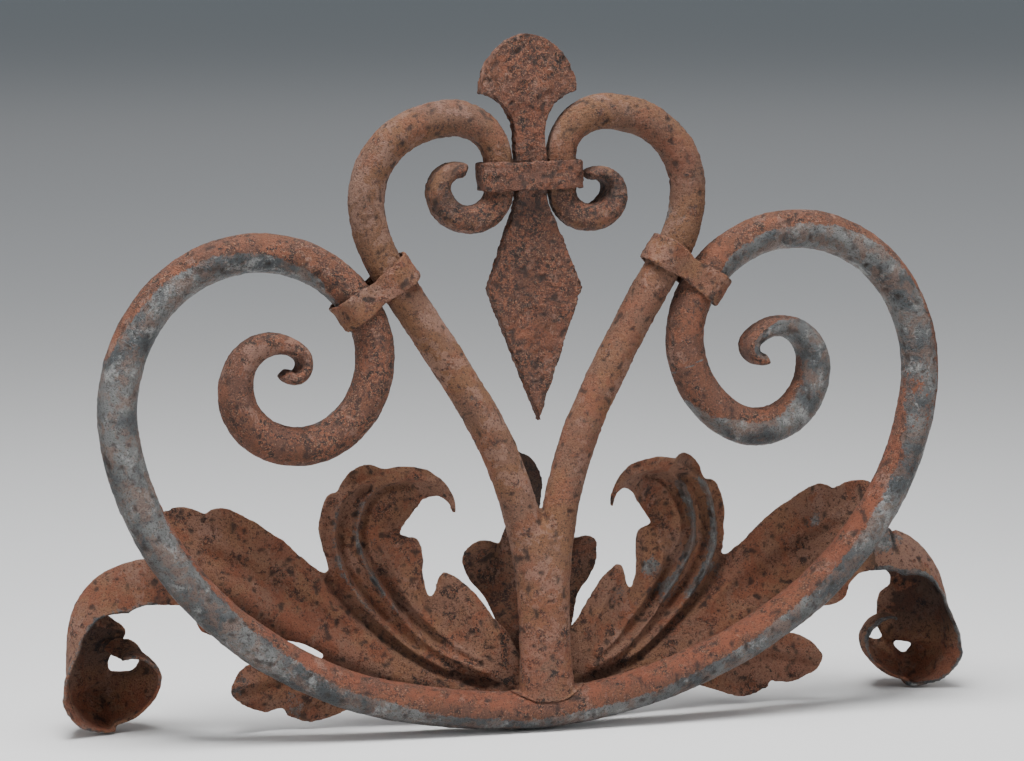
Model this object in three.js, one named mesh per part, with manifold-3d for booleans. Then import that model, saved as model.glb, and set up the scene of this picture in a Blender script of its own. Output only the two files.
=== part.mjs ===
// Wrought iron scrollwork crest: a scrolled outer bar, a heart-shaped bar, a lily plate,
// three collars and hammered sheet acanthus leaves, two of which curl down as feet.
// Millimetres, +Z up, front towards -Y. The origin is on the ground under the middle of the outer bar.
import * as THREE from 'three';
import { mergeVertices } from 'three/addons/utils/BufferGeometryUtils.js';
import Module from 'manifold-3d';

const wasm = await Module();
wasm.setup();

const RAD = Math.PI / 180;

// The bars stand in one plane, which leans back and a little to the left
const LEAN_BACK = 2.5;
const LEAN_LEFT = 1.4;
const GAP = 0.35;
const SIDES = 10;

// Outer bar: round stock rolled over formers. Each bend is [radius, degrees].
const OUTER_BAR = 19.6;
const OUTER_START = { x: -6, z: 9.9, headingLeft: 2, headingRight: 1 };
const OUTER_LEFT = [
  [336, 12], [179, 14], [187, 18], [149, 35], [81, 44], [67, 44], [59, 68], [44, 86],
  [34, 62], [27, 90], [18, 108], [7, 105], [4.5, 90],
];
const OUTER_RIGHT = [
  [257, 23], [220, 13], [164, 19], [147, 24], [79, 36], [66, 41], [60, 77], [47, 95],
  [28, 67], [30, 61], [18, 131], [6, 95], [4.5, 60],
];
// The end of each scroll is drawn down and flared into a ribbon
const OUTER_TIP = { taper: 95, thick: 7, deep: 22 };

// Heart bar: a forged stem that forks into two arms
const HEART_BAR = 18.6;
const ARM_START = { x: 4, z: 60, heading: 89 };
const ARM_LEFT = [[212, -29], [1640, -2.6], [64, 29], [38.5, 71], [53, 21], [22.3, 92]];
const ARM_RIGHT = [[230, -27], [700, -6], [64, 30], [37, 70], [53, 21], [21.8, 92]];
// Over the last stretch of each arm the bar is drawn down to a squarer neck
const NECK = { left: 11.6, right: 16.5, thick: 14.2, deep: 16, squaring: 34 };
const CURL_LEFT = [[15, 176], [9.5, 95], [5, 28]];
const CURL_RIGHT = [[13, 180], [8.5, 95], [5, 40]];
const CURL_TIP_LEFT = { thick: 9, deep: 20 };
const CURL_TIP_RIGHT = { thick: 6.5, deep: 24 };
// The stem spreads at its foot and again where it forks
const STEM = { foot: 12, fork: 97, width: 26, deep: 19, footSpread: 3, forkSpread: 4 };

// Lily plate: fan above, diamond drop below
const LILY = { thick: 9.5, bevel: 1.2 };
const FAN = { z: 312, height: 26, half: 24.3, neck: 8.1, neckZ: 291, pointed: 1.14 };
const DROP = { top: 252, topHalf: 10.3, wideZ: 215, wideHalf: 24, tip: 151 };

// Collars: straps forged round what they hold
const TOP_COLLAR = { z: 269.5, height: 15.5, strap: 3.2, round: 6 };
const SIDE_COLLAR = { height: 15.5, strap: 3.1, waist: 2, round: 11 };
const SIDE_COLLAR_LEFT = { x: -80, z: 216 };
const SIDE_COLLAR_RIGHT = { x: 77, z: 221 };

// Leaves: hammered sheet, cut to a lobed outline and bent over a midrib behind the outer bar
const SHEET = 2.6;
const LEAF_GRID = 10;
const LEAF_SEGMENT = 7.5;
const MIDRIB = [[0, 16], [45, 20], [71, 27], [90, 35], [109, 45], [129, 57], [147, 70], [190, 92]];
// Depths behind the plane y = 0: flush behind the stem, hollow further out, raised along the midrib
const LEAF_DEPTH = { flush: 10.2, flushTo: 15, hollowFrom: 70, hollow: 28, midrib: 18, midribSpread: 15 };
const CREST = { from: 80, full: 95, innerEdge: 105, outerEdge: 125, back: 4.5, backFrom: 62, backFull: 95 };
// The crest's upper rim curls forward round this point
const CREST_CURL = { x: 68, z: 97, start: 19, edge: 35, forward: 12 };
const LOWER_LOBE = { x: 150, z: 22, forward: 5, halfWidth: 16, halfHeight: 14 };
// The rear leaf's tongue leans back; its side lobes come forward at the top
const REAR_DEPTH = { root: 16, tip: 42, tipFrom: 30, tipTo: 128, lobe: 25.5, lobeForward: 11 };

// The crest of the strap that rolls into a foot, clockwise seen from the front
const FOOT_START = { x: 158, z: 83.8, heading: 8 };
const FOOT_BENDS = [[200, -8], [41, -82], [150, -11], [22.5, -87], [24.5, -88], [14.5, -95], [7, -55]];
// Along the crest: degrees turned, depth, then how far the near and far edges go across and inward
const FOOT_ROWS = [
  [0, 24, 4, 20, 4, 16],
  [8, 42, 7, 22, 14, 15],
  [45, 47, 16, 20, 20, 20],
  [70, 48, 16, 10, 20, 18],
  [90, 48, 15, 5, 20, 25],
  [94, 48, 14, 1, 20, 32],
  [99, 48, 14, -4, 20, 27],
  [104, 48, 14, -5, 20, 19],
  [145, 48.5, 10, -3, 20, 20],
  [188, 49, 5, 0.5, 20, 20],
  [195, 49, 5, 5, 20, 20],
  [225, 49, 5, 4, 20, 18],
  [268, 49, 5, 2, 20, 10],
  [330, 49, 5, 0, 14, 4],
  [426, 50, 3, 0, 9, 1],
];

// The rear leaf's right half, from the ground line up
const REAR_EDGE = [
  [[0, 20], [13, 22], [19, 48]],
  [[19, 48], [24, 61], [31, 70], [34.5, 79], [32.5, 88], [26, 92], [14, 87.5]],
  [[14, 87.5], [9, 98], [11.5, 116], [7, 127], [0, 131]],
  [[0, 131], [0, 131.01]],
];

const IRON_BARS = { color: 0x7a5546, roughness: 0.9, metalness: 0.35 };
const IRON_LEAVES = { color: 0x6b4536, roughness: 0.92, metalness: 0.3 };

const smooth = (low, high, value) => THREE.MathUtils.smoothstep(value, low, high);

// Solids: closed meshes in, closed meshes out
function solidOf(geometry) {
  const bare = geometry.clone();
  bare.deleteAttribute('normal');
  bare.deleteAttribute('uv');
  const merged = mergeVertices(bare, 1e-4);
  return new wasm.Manifold(new wasm.Mesh({
    numProp: 3,
    vertProperties: new Float32Array(merged.attributes.position.array),
    triVerts: new Uint32Array(merged.index.array),
  }));
}

function geometryOf(solid) {
  const mesh = solid.getMesh();
  const geometry = new THREE.BufferGeometry();
  geometry.setAttribute('position', new THREE.BufferAttribute(new Float32Array(mesh.vertProperties), 3));
  geometry.setIndex(new THREE.BufferAttribute(new Uint32Array(mesh.triVerts), 1));
  geometry.computeVertexNormals();
  return geometry;
}

// A mesh from its points and its triangles, three point numbers each
function gridGeometry(points, faces) {
  const geometry = new THREE.BufferGeometry();
  const flat = points.flatMap((p) => [p.x, p.y, p.z]);
  geometry.setAttribute('position', new THREE.Float32BufferAttribute(flat, 3));
  geometry.setIndex(faces);
  return geometry;
}

function outward(geometry) {
  const solid = solidOf(geometry);
  if (solid.volume() > 0) return geometry;
  const index = Array.from(geometry.index.array);
  for (let i = 0; i < index.length; i += 3) {
    [index[i], index[i + 1]] = [index[i + 1], index[i]];
  }
  geometry.setIndex(index);
  return geometry;
}

// A bar's centreline: stations along a chain of tangent bends in the XZ plane
function traceBends(start, bends, stepTurn = 18, stepLength = 26) {
  let { x, z } = start;
  let heading = start.heading * RAD;
  let s = 0;
  const stations = [{ x, z, heading, s }];
  for (const [radius, degrees] of bends) {
    const arc = radius * Math.abs(degrees) * RAD;
    const steps = Math.max(1, Math.ceil(Math.max(Math.abs(degrees) / stepTurn, arc / stepLength)));
    const turn = (degrees * RAD) / steps;
    const signed = radius * Math.sign(degrees);
    for (let i = 0; i < steps; i += 1) {
      x += signed * (Math.sin(heading + turn) - Math.sin(heading));
      z -= signed * (Math.cos(heading + turn) - Math.cos(heading));
      heading += turn;
      s += arc / steps;
      stations.push({ x, z, heading, s });
    }
  }
  return stations;
}

const mirrored = (stations) => stations.map((p) => ({ ...p, x: -p.x, heading: Math.PI - p.heading }));

// A bar swept along its centreline. sizeAt gives thickness in the plane and depth across it.
function sweepBar(stations, sizeAt, grow = 0) {
  const points = [];
  const faces = [];
  stations.forEach((p, i) => {
    const size = sizeAt(p);
    for (let k = 0; k < SIDES; k += 1) {
      const a = (2 * Math.PI * k) / SIDES;
      const square = (v) => Math.sign(v) * Math.abs(v) ** (size.square ?? 1);
      const across = square(Math.cos(a)) * (size.thick / 2 + grow);
      const deep = square(Math.sin(a)) * (size.deep / 2 + grow);
      points.push(new THREE.Vector3(
        p.x - Math.sin(p.heading) * across,
        deep,
        p.z + Math.cos(p.heading) * across,
      ));
    }
    if (i === 0) return;
    for (let k = 0; k < SIDES; k += 1) {
      const a = (i - 1) * SIDES + k;
      const b = (i - 1) * SIDES + ((k + 1) % SIDES);
      faces.push(a, b, a + SIDES, b, b + SIDES, a + SIDES);
    }
  });
  const cap = (row, station, reach) => {
    points.push(new THREE.Vector3(
      station.x + Math.cos(station.heading) * reach,
      0,
      station.z + Math.sin(station.heading) * reach,
    ));
    const centre = points.length - 1;
    for (let k = 0; k < SIDES; k += 1) {
      const a = row * SIDES + k;
      const b = row * SIDES + ((k + 1) % SIDES);
      if (row === 0) faces.push(b, a, centre);
      else faces.push(a, b, centre);
    }
  };
  const last = stations.length - 1;
  cap(0, stations[0], -sizeAt(stations[0]).thick * 0.2 - grow);
  cap(last, stations[last], sizeAt(stations[last]).thick * 0.2 + grow);
  return outward(gridGeometry(points, faces));
}

// Outer bar
function outerStations() {
  const { x, z, headingLeft, headingRight } = OUTER_START;
  const left = traceBends({ x: -x, z, heading: headingLeft }, OUTER_LEFT);
  const right = traceBends({ x, z, heading: headingRight }, OUTER_RIGHT);
  const ends = [left.at(-1).s, right.at(-1).s];
  const leftBack = mirrored(left).reverse().slice(0, -1)
    .map((p) => ({ ...p, heading: p.heading + Math.PI, toTip: ends[0] - p.s }));
  return [...leftBack, ...right.map((p) => ({ ...p, toTip: ends[1] - p.s }))];
}

function outerSize(station) {
  const t = 1 - smooth(0, OUTER_TIP.taper, station.toTip);
  return {
    thick: THREE.MathUtils.lerp(OUTER_BAR, OUTER_TIP.thick, t ** 1.3),
    deep: THREE.MathUtils.lerp(OUTER_BAR, OUTER_TIP.deep, t),
    square: 1 - 0.35 * t,
  };
}

// Heart bar
function armStations(bends, neckLength, bendsOfCurl) {
  const arm = traceBends(ARM_START, bends);
  const top = arm.at(-1);
  const neckEnd = { x: top.x, z: top.z - neckLength, heading: -90, s: top.s + neckLength };
  const curl = traceBends(neckEnd, bendsOfCurl)
    .map((p) => ({ ...p, s: p.s + neckEnd.s }));
  const end = curl.at(-1).s;
  return { stations: [...arm, ...curl], neckX: top.x, neckAt: top.s, curlAt: neckEnd.s, end };
}

function armSize(arm, tip) {
  return (p) => {
    const toNeck = smooth(arm.neckAt - NECK.squaring, arm.neckAt, p.s);
    const curl = Math.max(0, (p.s - arm.curlAt) / (arm.end - arm.curlAt));
    const thick = THREE.MathUtils.lerp(HEART_BAR, NECK.thick, toNeck);
    const deep = THREE.MathUtils.lerp(HEART_BAR, NECK.deep, toNeck);
    return {
      thick: THREE.MathUtils.lerp(thick, tip.thick, smooth(0.5, 1, curl)),
      deep: THREE.MathUtils.lerp(deep, tip.deep, smooth(0, 0.5, curl)),
      square: 1 - 0.3 * toNeck,
    };
  };
}

function stemGeometry(grow = 0) {
  const rows = 7;
  const stations = Array.from({ length: rows }, (_, i) => {
    const t = i / (rows - 1);
    return { x: 0, z: THREE.MathUtils.lerp(STEM.foot, STEM.fork, t), heading: Math.PI / 2, t };
  });
  return sweepBar(stations, ({ t }) => ({
    thick: STEM.width + STEM.footSpread * (1 - smooth(0, 0.3, t)) + STEM.forkSpread * smooth(0.6, 1, t),
    deep: STEM.deep,
    square: 0.85,
  }), grow);
}

// Lily plate
function lilyGeometry(grow = 0) {
  const half = (value) => value + grow;
  const outline = new THREE.Shape();
  outline.moveTo(0, DROP.tip - grow * 2);
  outline.lineTo(half(DROP.wideHalf), DROP.wideZ);
  outline.lineTo(half(DROP.topHalf), DROP.top);
  outline.quadraticCurveTo(half(FAN.neck), DROP.top + 4, half(FAN.neck), DROP.top + 9);
  outline.lineTo(half(FAN.neck), FAN.neckZ);
  outline.quadraticCurveTo(half(FAN.neck + 2), FAN.z - 6, half(FAN.half), FAN.z - 3);
  for (let i = 1; i < 12; i += 1) {
    const angle = (Math.PI * i) / 12;
    const across = Math.sign(Math.cos(angle)) * Math.abs(Math.cos(angle)) ** FAN.pointed;
    outline.lineTo(half(FAN.half) * across, FAN.z + half(FAN.height) * Math.sin(angle) ** FAN.pointed);
  }
  outline.lineTo(-half(FAN.half), FAN.z - 3);
  outline.quadraticCurveTo(-half(FAN.neck + 2), FAN.z - 6, -half(FAN.neck), FAN.neckZ);
  outline.lineTo(-half(FAN.neck), DROP.top + 9);
  outline.quadraticCurveTo(-half(FAN.neck), DROP.top + 4, -half(DROP.topHalf), DROP.top);
  outline.lineTo(-half(DROP.wideHalf), DROP.wideZ);
  outline.closePath();
  const geometry = new THREE.ExtrudeGeometry(outline, {
    depth: LILY.thick - 2 * LILY.bevel + 2 * grow,
    bevelThickness: LILY.bevel,
    bevelSize: LILY.bevel,
    bevelOffset: -LILY.bevel,
    bevelSegments: 1,
    curveSegments: 5,
  });
  geometry.translate(0, 0, -(LILY.thick / 2 - LILY.bevel + grow));
  geometry.rotateX(Math.PI / 2);
  return geometry;
}

// Collars
function roundedBlock(width, depth, height, radius, waist) {
  const w = width / 2;
  const d = depth / 2;
  const outline = new THREE.Shape();
  outline.moveTo(-w + radius, -d);
  outline.quadraticCurveTo(0, -d + 2 * waist, w - radius, -d);
  outline.quadraticCurveTo(w, -d, w, -d + radius);
  outline.lineTo(w, d - radius);
  outline.quadraticCurveTo(w, d, w - radius, d);
  outline.quadraticCurveTo(0, d - 2 * waist, -w + radius, d);
  outline.quadraticCurveTo(-w, d, -w, d - radius);
  outline.lineTo(-w, -d + radius);
  outline.quadraticCurveTo(-w, -d, -w + radius, -d);
  const bevel = 1;
  const geometry = new THREE.ExtrudeGeometry(outline, {
    depth: height - 2 * bevel,
    bevelThickness: bevel,
    bevelSize: bevel,
    bevelOffset: -bevel,
    bevelSegments: 1,
    curveSegments: 4,
  });
  geometry.translate(0, 0, -(height / 2 - bevel));
  return geometry;
}

function topCollarGeometry(neckX) {
  const width = 2 * (neckX + NECK.thick / 2 + GAP + TOP_COLLAR.strap);
  const depth = NECK.deep + 2 * (GAP + TOP_COLLAR.strap);
  return roundedBlock(width, depth, TOP_COLLAR.height, TOP_COLLAR.round, 0).translate(0, 0, TOP_COLLAR.z);
}

// The point of a centreline nearest to a given place
function nearestPoint(stations, place) {
  let best = { distance: Infinity };
  stations.slice(1).forEach((p, i) => {
    for (let t = 0; t <= 1; t += 0.1) {
      const x = THREE.MathUtils.lerp(stations[i].x, p.x, t);
      const z = THREE.MathUtils.lerp(stations[i].z, p.z, t);
      const distance = Math.hypot(x - place.x, z - place.z);
      if (distance < best.distance) best = { distance, x, z };
    }
  });
  return new THREE.Vector3(best.x, 0, best.z);
}

// A side collar wraps the arm and the outer bar where they lie side by side
function sideCollarGeometry(place, arm, outer) {
  const inner = nearestPoint(arm, place);
  const reach = nearestPoint(outer, place).sub(inner);
  const margin = 2 * (GAP + SIDE_COLLAR.strap);
  const width = reach.length() + (OUTER_BAR + HEART_BAR) / 2 + margin;
  const block = roundedBlock(
    width, OUTER_BAR + margin, SIDE_COLLAR.height, SIDE_COLLAR.round, SIDE_COLLAR.waist);
  const across = reach.clone().normalize();
  const deep = new THREE.Vector3(0, 1, 0);
  const along = new THREE.Vector3().crossVectors(across, deep);
  const centre = inner.addScaledVector(across, (reach.length() + (OUTER_BAR - HEART_BAR) / 2) / 2);
  return block.applyMatrix4(new THREE.Matrix4().makeBasis(across, deep, along).setPosition(centre));
}

// Leaves
const curveThrough = (points) => new THREE.CatmullRomCurve3(
  points.map(([x, z]) => new THREE.Vector3(x, 0, z)), false, 'centripetal');

function midribHeight(x) {
  const i = Math.max(0, MIDRIB.findIndex(([px]) => px > x) - 1);
  const [x0, z0] = MIDRIB[i];
  const [x1, z1] = MIDRIB[i + 1];
  return z0 + ((z1 - z0) * (x - x0)) / (x1 - x0);
}

// Front face of the side leaf, as the depth behind the plane y = 0
function leafDepth(x, z) {
  const flush = LEAF_DEPTH.flush + Math.tan(LEAN_BACK * RAD) * z;
  const away = smooth(LEAF_DEPTH.flushTo, LEAF_DEPTH.hollowFrom, x);
  const ridge = Math.exp(-(((z - midribHeight(x)) / LEAF_DEPTH.midribSpread) ** 2));
  const dx = x - CREST_CURL.x;
  const dz = z - CREST_CURL.z;
  const angle = Math.atan2(dz, dx) / RAD;
  const turned = smooth(45, 95, angle < -60 ? angle + 360 : angle);
  const outwards = smooth(CREST_CURL.start, CREST_CURL.edge, Math.hypot(dx, dz));
  const crest = smooth(CREST.from, CREST.full, z) * (1 - smooth(CREST.innerEdge, CREST.outerEdge, x));
  const back = CREST.back * smooth(CREST.backFrom, CREST.backFull, x);
  const lobeX = (x - LOWER_LOBE.x) / LOWER_LOBE.halfWidth;
  const lobeZ = (z - LOWER_LOBE.z) / LOWER_LOBE.halfHeight;
  const lobe = LOWER_LOBE.forward * Math.exp(-(lobeX ** 2) - (lobeZ ** 2));
  const open = LEAF_DEPTH.hollow + crest * (back - CREST_CURL.forward * turned * outwards) - lobe;
  return THREE.MathUtils.lerp(flush, THREE.MathUtils.lerp(open, LEAF_DEPTH.midrib, ridge), away);
}

// The side leaf's outline: lobes as smooth runs between notches, from the stem outwards and back
const LEAF_EDGE = [
  [[0.4, 12], [45, 11], [56, 6.5], [66, 10], [80, 12], [92, 9]],
  [[92, 9], [103, 5], [113, 3.5], [124, 7]],
  [[124, 7], [125, 11]],
  [[125, 11], [135, 9.5], [146, 14.5], [151.5, 20], [149.5, 28], [139.5, 35], [120, 37], [99, 36]],
  [[99, 36], [107, 38.5], [116, 43.5], [140, 49.5], [157, 48], [165.5, 51.5], [167.5, 58]],
  [[167.5, 58], [174, 65.5]],
  [[174, 65.5], [178, 84]],
  [[178, 84], [185, 98], [183.5, 108], [176, 112], [168, 111.5], [160, 108.5]],
  [[160, 108.5], [157, 110.5], [149, 110.5], [135, 102.5], [122, 93.5], [111, 83], [100, 75.5]],
  [[100, 75.5], [102.5, 85], [104.2, 98], [102.5, 107], [99.5, 114], [94.5, 115.2]],
  [[94.5, 115.2], [90.5, 123], [84, 128.6], [78.5, 130], [74.5, 128.3]],
  [[74.5, 128.3], [65, 130], [55, 128.5], [46, 123], [40.5, 115], [38.7, 106]],
  [[38.7, 106], [41, 104.8]],
  [[41, 104.8], [43, 110.5], [47.5, 113], [53, 110.5], [57, 104.5]],
  [[57, 104.5], [60, 100.5], [64.5, 93.6]],
  [[64.5, 93.6], [59.5, 93.3], [55.5, 91], [54, 84], [54, 72], [51.5, 62.5]],
  [[51.5, 62.5], [48.7, 67], [47.5, 73], [44, 76], [38, 73], [31, 66.5], [23, 55.5], [14, 45]],
  [[14, 45], [0.4, 44]],
];

function outlineOf(runs, segment) {
  const outline = [];
  for (const run of runs) {
    const curve = curveThrough(run);
    const steps = run.length === 2 ? 1 : Math.max(2, Math.round(curve.getLength() / segment));
    for (let i = 0; i < steps; i += 1) {
      const p = curve.getPoint(i / steps);
      outline.push(new THREE.Vector2(p.x, p.z));
    }
  }
  return outline;
}

// A bent sheet: a slab that follows depthAt, cut to the outline
function cutSheet(outline, depthAt, step) {
  const box = new THREE.Box2().setFromPoints(outline).expandByScalar(3);
  const nx = Math.ceil((box.max.x - box.min.x) / step);
  const nz = Math.ceil((box.max.y - box.min.y) / step);
  const points = [];
  for (const side of [0, 1]) {
    for (let i = 0; i <= nx; i += 1) {
      for (let j = 0; j <= nz; j += 1) {
        const x = box.min.x + ((box.max.x - box.min.x) * i) / nx;
        const z = box.min.y + ((box.max.y - box.min.y) * j) / nz;
        const slopeX = (depthAt(x + 1, z) - depthAt(x - 1, z)) / 2;
        const slopeZ = (depthAt(x, z + 1) - depthAt(x, z - 1)) / 2;
        const thick = Math.min(1.6, Math.hypot(1, slopeX, slopeZ)) * SHEET;
        points.push(new THREE.Vector3(x, depthAt(x, z) + side * thick, z));
      }
    }
  }
  const at = (side, i, j) => side * (nx + 1) * (nz + 1) + i * (nz + 1) + j;
  const faces = [];
  const quad = (a, b, c, d) => faces.push(a, b, c, a, c, d);
  for (let i = 0; i < nx; i += 1) {
    for (let j = 0; j < nz; j += 1) {
      quad(at(0, i, j), at(0, i + 1, j), at(0, i + 1, j + 1), at(0, i, j + 1));
      quad(at(1, i, j), at(1, i, j + 1), at(1, i + 1, j + 1), at(1, i + 1, j));
    }
  }
  for (let i = 0; i < nx; i += 1) {
    quad(at(0, i, 0), at(1, i, 0), at(1, i + 1, 0), at(0, i + 1, 0));
    quad(at(0, i, nz), at(0, i + 1, nz), at(1, i + 1, nz), at(1, i, nz));
  }
  for (let j = 0; j < nz; j += 1) {
    quad(at(0, 0, j), at(0, 0, j + 1), at(1, 0, j + 1), at(1, 0, j));
    quad(at(0, nx, j), at(1, nx, j), at(1, nx, j + 1), at(0, nx, j + 1));
  }
  const slab = solidOf(outward(gridGeometry(points, faces)));
  const prism = new THREE.ExtrudeGeometry(new THREE.Shape(outline), { depth: 120, bevelEnabled: false });
  prism.rotateX(Math.PI / 2).translate(0, 80, 0);
  return slab.intersect(solidOf(prism));
}

// A rolled sheet: rows of points across it, thickened towards the inside of the roll
function rolledSheet(rows, thickness) {
  const across = rows[0].length;
  const outer = rows.flat();
  const skin = [];
  const cell = (i, j) => i * across + j;
  for (let i = 0; i + 1 < rows.length; i += 1) {
    for (let j = 0; j + 1 < across; j += 1) {
      skin.push(cell(i, j), cell(i + 1, j), cell(i + 1, j + 1));
      skin.push(cell(i, j), cell(i + 1, j + 1), cell(i, j + 1));
    }
  }
  const face = gridGeometry(outer, skin);
  face.computeVertexNormals();
  const normal = face.attributes.normal;
  const inner = outer.map((p, k) => p.clone().addScaledVector(
    new THREE.Vector3().fromBufferAttribute(normal, k), thickness));
  const count = outer.length;
  const faces = [...skin];
  for (let k = 0; k < skin.length; k += 3) {
    faces.push(skin[k] + count, skin[k + 2] + count, skin[k + 1] + count);
  }
  const rim = [];
  const edge = across - 1;
  const end = rows.length - 1;
  for (let i = 0; i < end; i += 1) {
    rim.push([cell(i + 1, 0), cell(i, 0)], [cell(i, edge), cell(i + 1, edge)]);
  }
  for (let j = 0; j < edge; j += 1) {
    rim.push([cell(0, j), cell(0, j + 1)], [cell(end, j + 1), cell(end, j)]);
  }
  for (const [a, b] of rim) faces.push(a, b, b + count, a, b + count, a + count);
  return outward(gridGeometry([...outer, ...inner], faces));
}

const keyed = (rows, at, column) => {
  const i = Math.max(1, rows.findIndex((row) => row[0] >= at));
  const [low, high] = [rows[i - 1], rows[i]];
  return THREE.MathUtils.mapLinear(at, low[0], high[0], low[column], high[column]);
};

function leafFoot() {
  const crest = traceBends(FOOT_START, FOOT_BENDS, 20, 16);
  const turned = (p) => FOOT_START.heading - p.heading / RAD;
  const rows = crest.map((p) => {
    const at = Math.min(turned(p), FOOT_ROWS.at(-1)[0]);
    const columns = [1, 2, 3, 4, 5].map((column) => keyed(FOOT_ROWS, at, column));
    const [y, nearFront, nearIn, farBack, farIn] = columns;
    const inward = new THREE.Vector3(Math.sin(p.heading), 0, -Math.cos(p.heading));
    const rail = (shift, reach, share, bulge) => new THREE.Vector3(p.x, y + shift * share, p.z)
      .addScaledVector(inward, reach * (share ** bulge));
    return [
      rail(-nearFront, nearIn, 1, 1),
      rail(-nearFront, nearIn, 0.6, 2),
      rail(0, 0, 1, 1),
      rail(farBack, farIn, 0.6, 2),
      rail(farBack, farIn, 1, 1),
    ];
  });
  return solidOf(rolledSheet(rows, -SHEET));
}

function sideLeafSolid() {
  const flat = cutSheet(outlineOf(LEAF_EDGE, LEAF_SEGMENT), leafDepth, LEAF_GRID);
  return flat.add(leafFoot());
}

function rearDepth(x, z) {
  const side = Math.abs(x);
  const rise = smooth(REAR_DEPTH.tipFrom, REAR_DEPTH.tipTo, z);
  const tongue = THREE.MathUtils.lerp(REAR_DEPTH.root, REAR_DEPTH.tip, rise);
  const lobe = REAR_DEPTH.lobe - REAR_DEPTH.lobeForward * smooth(80, 93, z);
  const behind = leafDepth(side, Math.min(z, 75)) + 1.35 * SHEET + GAP;
  const free = THREE.MathUtils.lerp(tongue, lobe, smooth(10, 24, side));
  return THREE.MathUtils.lerp(behind, Math.max(free, z < 76 ? behind : 0), smooth(40, 70, z));
}

function rearLeafSolid() {
  const right = outlineOf(REAR_EDGE, LEAF_SEGMENT);
  const left = right.slice(1).reverse().map((p) => new THREE.Vector2(-p.x, p.y));
  return cutSheet([...right, ...left], rearDepth, LEAF_GRID);
}

// Assembly
const part = new THREE.Group();
part.name = 'scrollwork_crest';
const leaning = new THREE.Matrix4().makeRotationFromEuler(
  new THREE.Euler(-LEAN_BACK * RAD, -LEAN_LEFT * RAD, 0, 'YXZ'));

function addPiece(name, geometry, look) {
  const material = new THREE.MeshStandardMaterial(look);
  material.name = look === IRON_LEAVES ? 'iron_leaves' : 'iron_bars';
  const mesh = new THREE.Mesh(geometry, material);
  mesh.name = name;
  part.add(mesh);
}

const outer = outerStations();
const outerSolid = solidOf(sweepBar(outer, outerSize));
const outerClear = solidOf(sweepBar(outer, outerSize, GAP));
const rightArm = armStations(ARM_RIGHT, NECK.right, CURL_RIGHT);
const leftArm = armStations(ARM_LEFT, NECK.left, CURL_LEFT);
leftArm.stations = mirrored(leftArm.stations);
const armSolids = (grow) => solidOf(sweepBar(rightArm.stations, armSize(rightArm, CURL_TIP_RIGHT), grow))
  .add(solidOf(sweepBar(leftArm.stations, armSize(leftArm, CURL_TIP_LEFT), grow)));
const heartSolid = solidOf(stemGeometry()).add(armSolids(0)).subtract(outerClear);
const heartClear = armSolids(GAP);
const lilySolid = solidOf(lilyGeometry());
const lilyClear = solidOf(lilyGeometry(GAP));
const topCollarSolid = solidOf(topCollarGeometry(rightArm.neckX)).subtract(heartClear).subtract(lilyClear);
const sideCollarSolid = (place, arm) => solidOf(sideCollarGeometry(place, arm, outer))
  .subtract(outerClear).subtract(heartClear);

// The leaves lean to the left with the bars while both feet stay on the ground
const swayed = new THREE.Matrix4().makeShear(0, 0, 0, 0, -Math.tan(LEAN_LEFT * RAD), 0);
const sheet = (solid) => geometryOf(solid).applyMatrix4(swayed);
const leaned = (solid) => geometryOf(solid).applyMatrix4(leaning);
addPiece('outer_bar', leaned(outerSolid), IRON_BARS);
addPiece('heart_bar', leaned(heartSolid), IRON_BARS);
addPiece('lily_plate', leaned(lilySolid), IRON_BARS);
addPiece('collar_top', leaned(topCollarSolid), IRON_BARS);
addPiece('collar_left', leaned(sideCollarSolid(SIDE_COLLAR_LEFT, leftArm.stations)), IRON_BARS);
addPiece('collar_right', leaned(sideCollarSolid(SIDE_COLLAR_RIGHT, rightArm.stations)), IRON_BARS);
const sideLeaf = sideLeafSolid();
addPiece('leaf_right', sheet(sideLeaf), IRON_LEAVES);
addPiece('leaf_left', sheet(sideLeaf.mirror([1, 0, 0])), IRON_LEAVES);
addPiece('leaf_rear', sheet(rearLeafSolid()), IRON_LEAVES);

export default part;
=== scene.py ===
import math
import bpy
import bmesh
import numpy as np
from mathutils import Matrix, Vector, noise
from mathutils.kdtree import KDTree


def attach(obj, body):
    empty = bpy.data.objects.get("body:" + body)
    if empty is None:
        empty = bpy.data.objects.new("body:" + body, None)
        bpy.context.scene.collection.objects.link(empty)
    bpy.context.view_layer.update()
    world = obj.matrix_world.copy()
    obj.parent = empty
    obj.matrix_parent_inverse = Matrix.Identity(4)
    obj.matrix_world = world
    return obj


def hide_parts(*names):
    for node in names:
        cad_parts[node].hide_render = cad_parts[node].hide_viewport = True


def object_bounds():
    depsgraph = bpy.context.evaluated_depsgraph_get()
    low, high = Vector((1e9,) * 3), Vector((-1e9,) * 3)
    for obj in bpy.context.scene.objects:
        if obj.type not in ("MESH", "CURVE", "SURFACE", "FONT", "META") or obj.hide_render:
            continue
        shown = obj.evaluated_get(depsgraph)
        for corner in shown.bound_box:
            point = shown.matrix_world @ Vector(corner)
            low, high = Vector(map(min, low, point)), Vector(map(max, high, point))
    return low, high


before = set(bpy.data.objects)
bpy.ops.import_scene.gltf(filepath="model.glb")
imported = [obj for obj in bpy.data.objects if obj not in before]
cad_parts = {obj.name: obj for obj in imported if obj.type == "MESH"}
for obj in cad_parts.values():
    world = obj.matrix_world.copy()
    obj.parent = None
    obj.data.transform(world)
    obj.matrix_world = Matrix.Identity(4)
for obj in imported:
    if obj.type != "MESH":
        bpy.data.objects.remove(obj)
cad_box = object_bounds()

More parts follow.
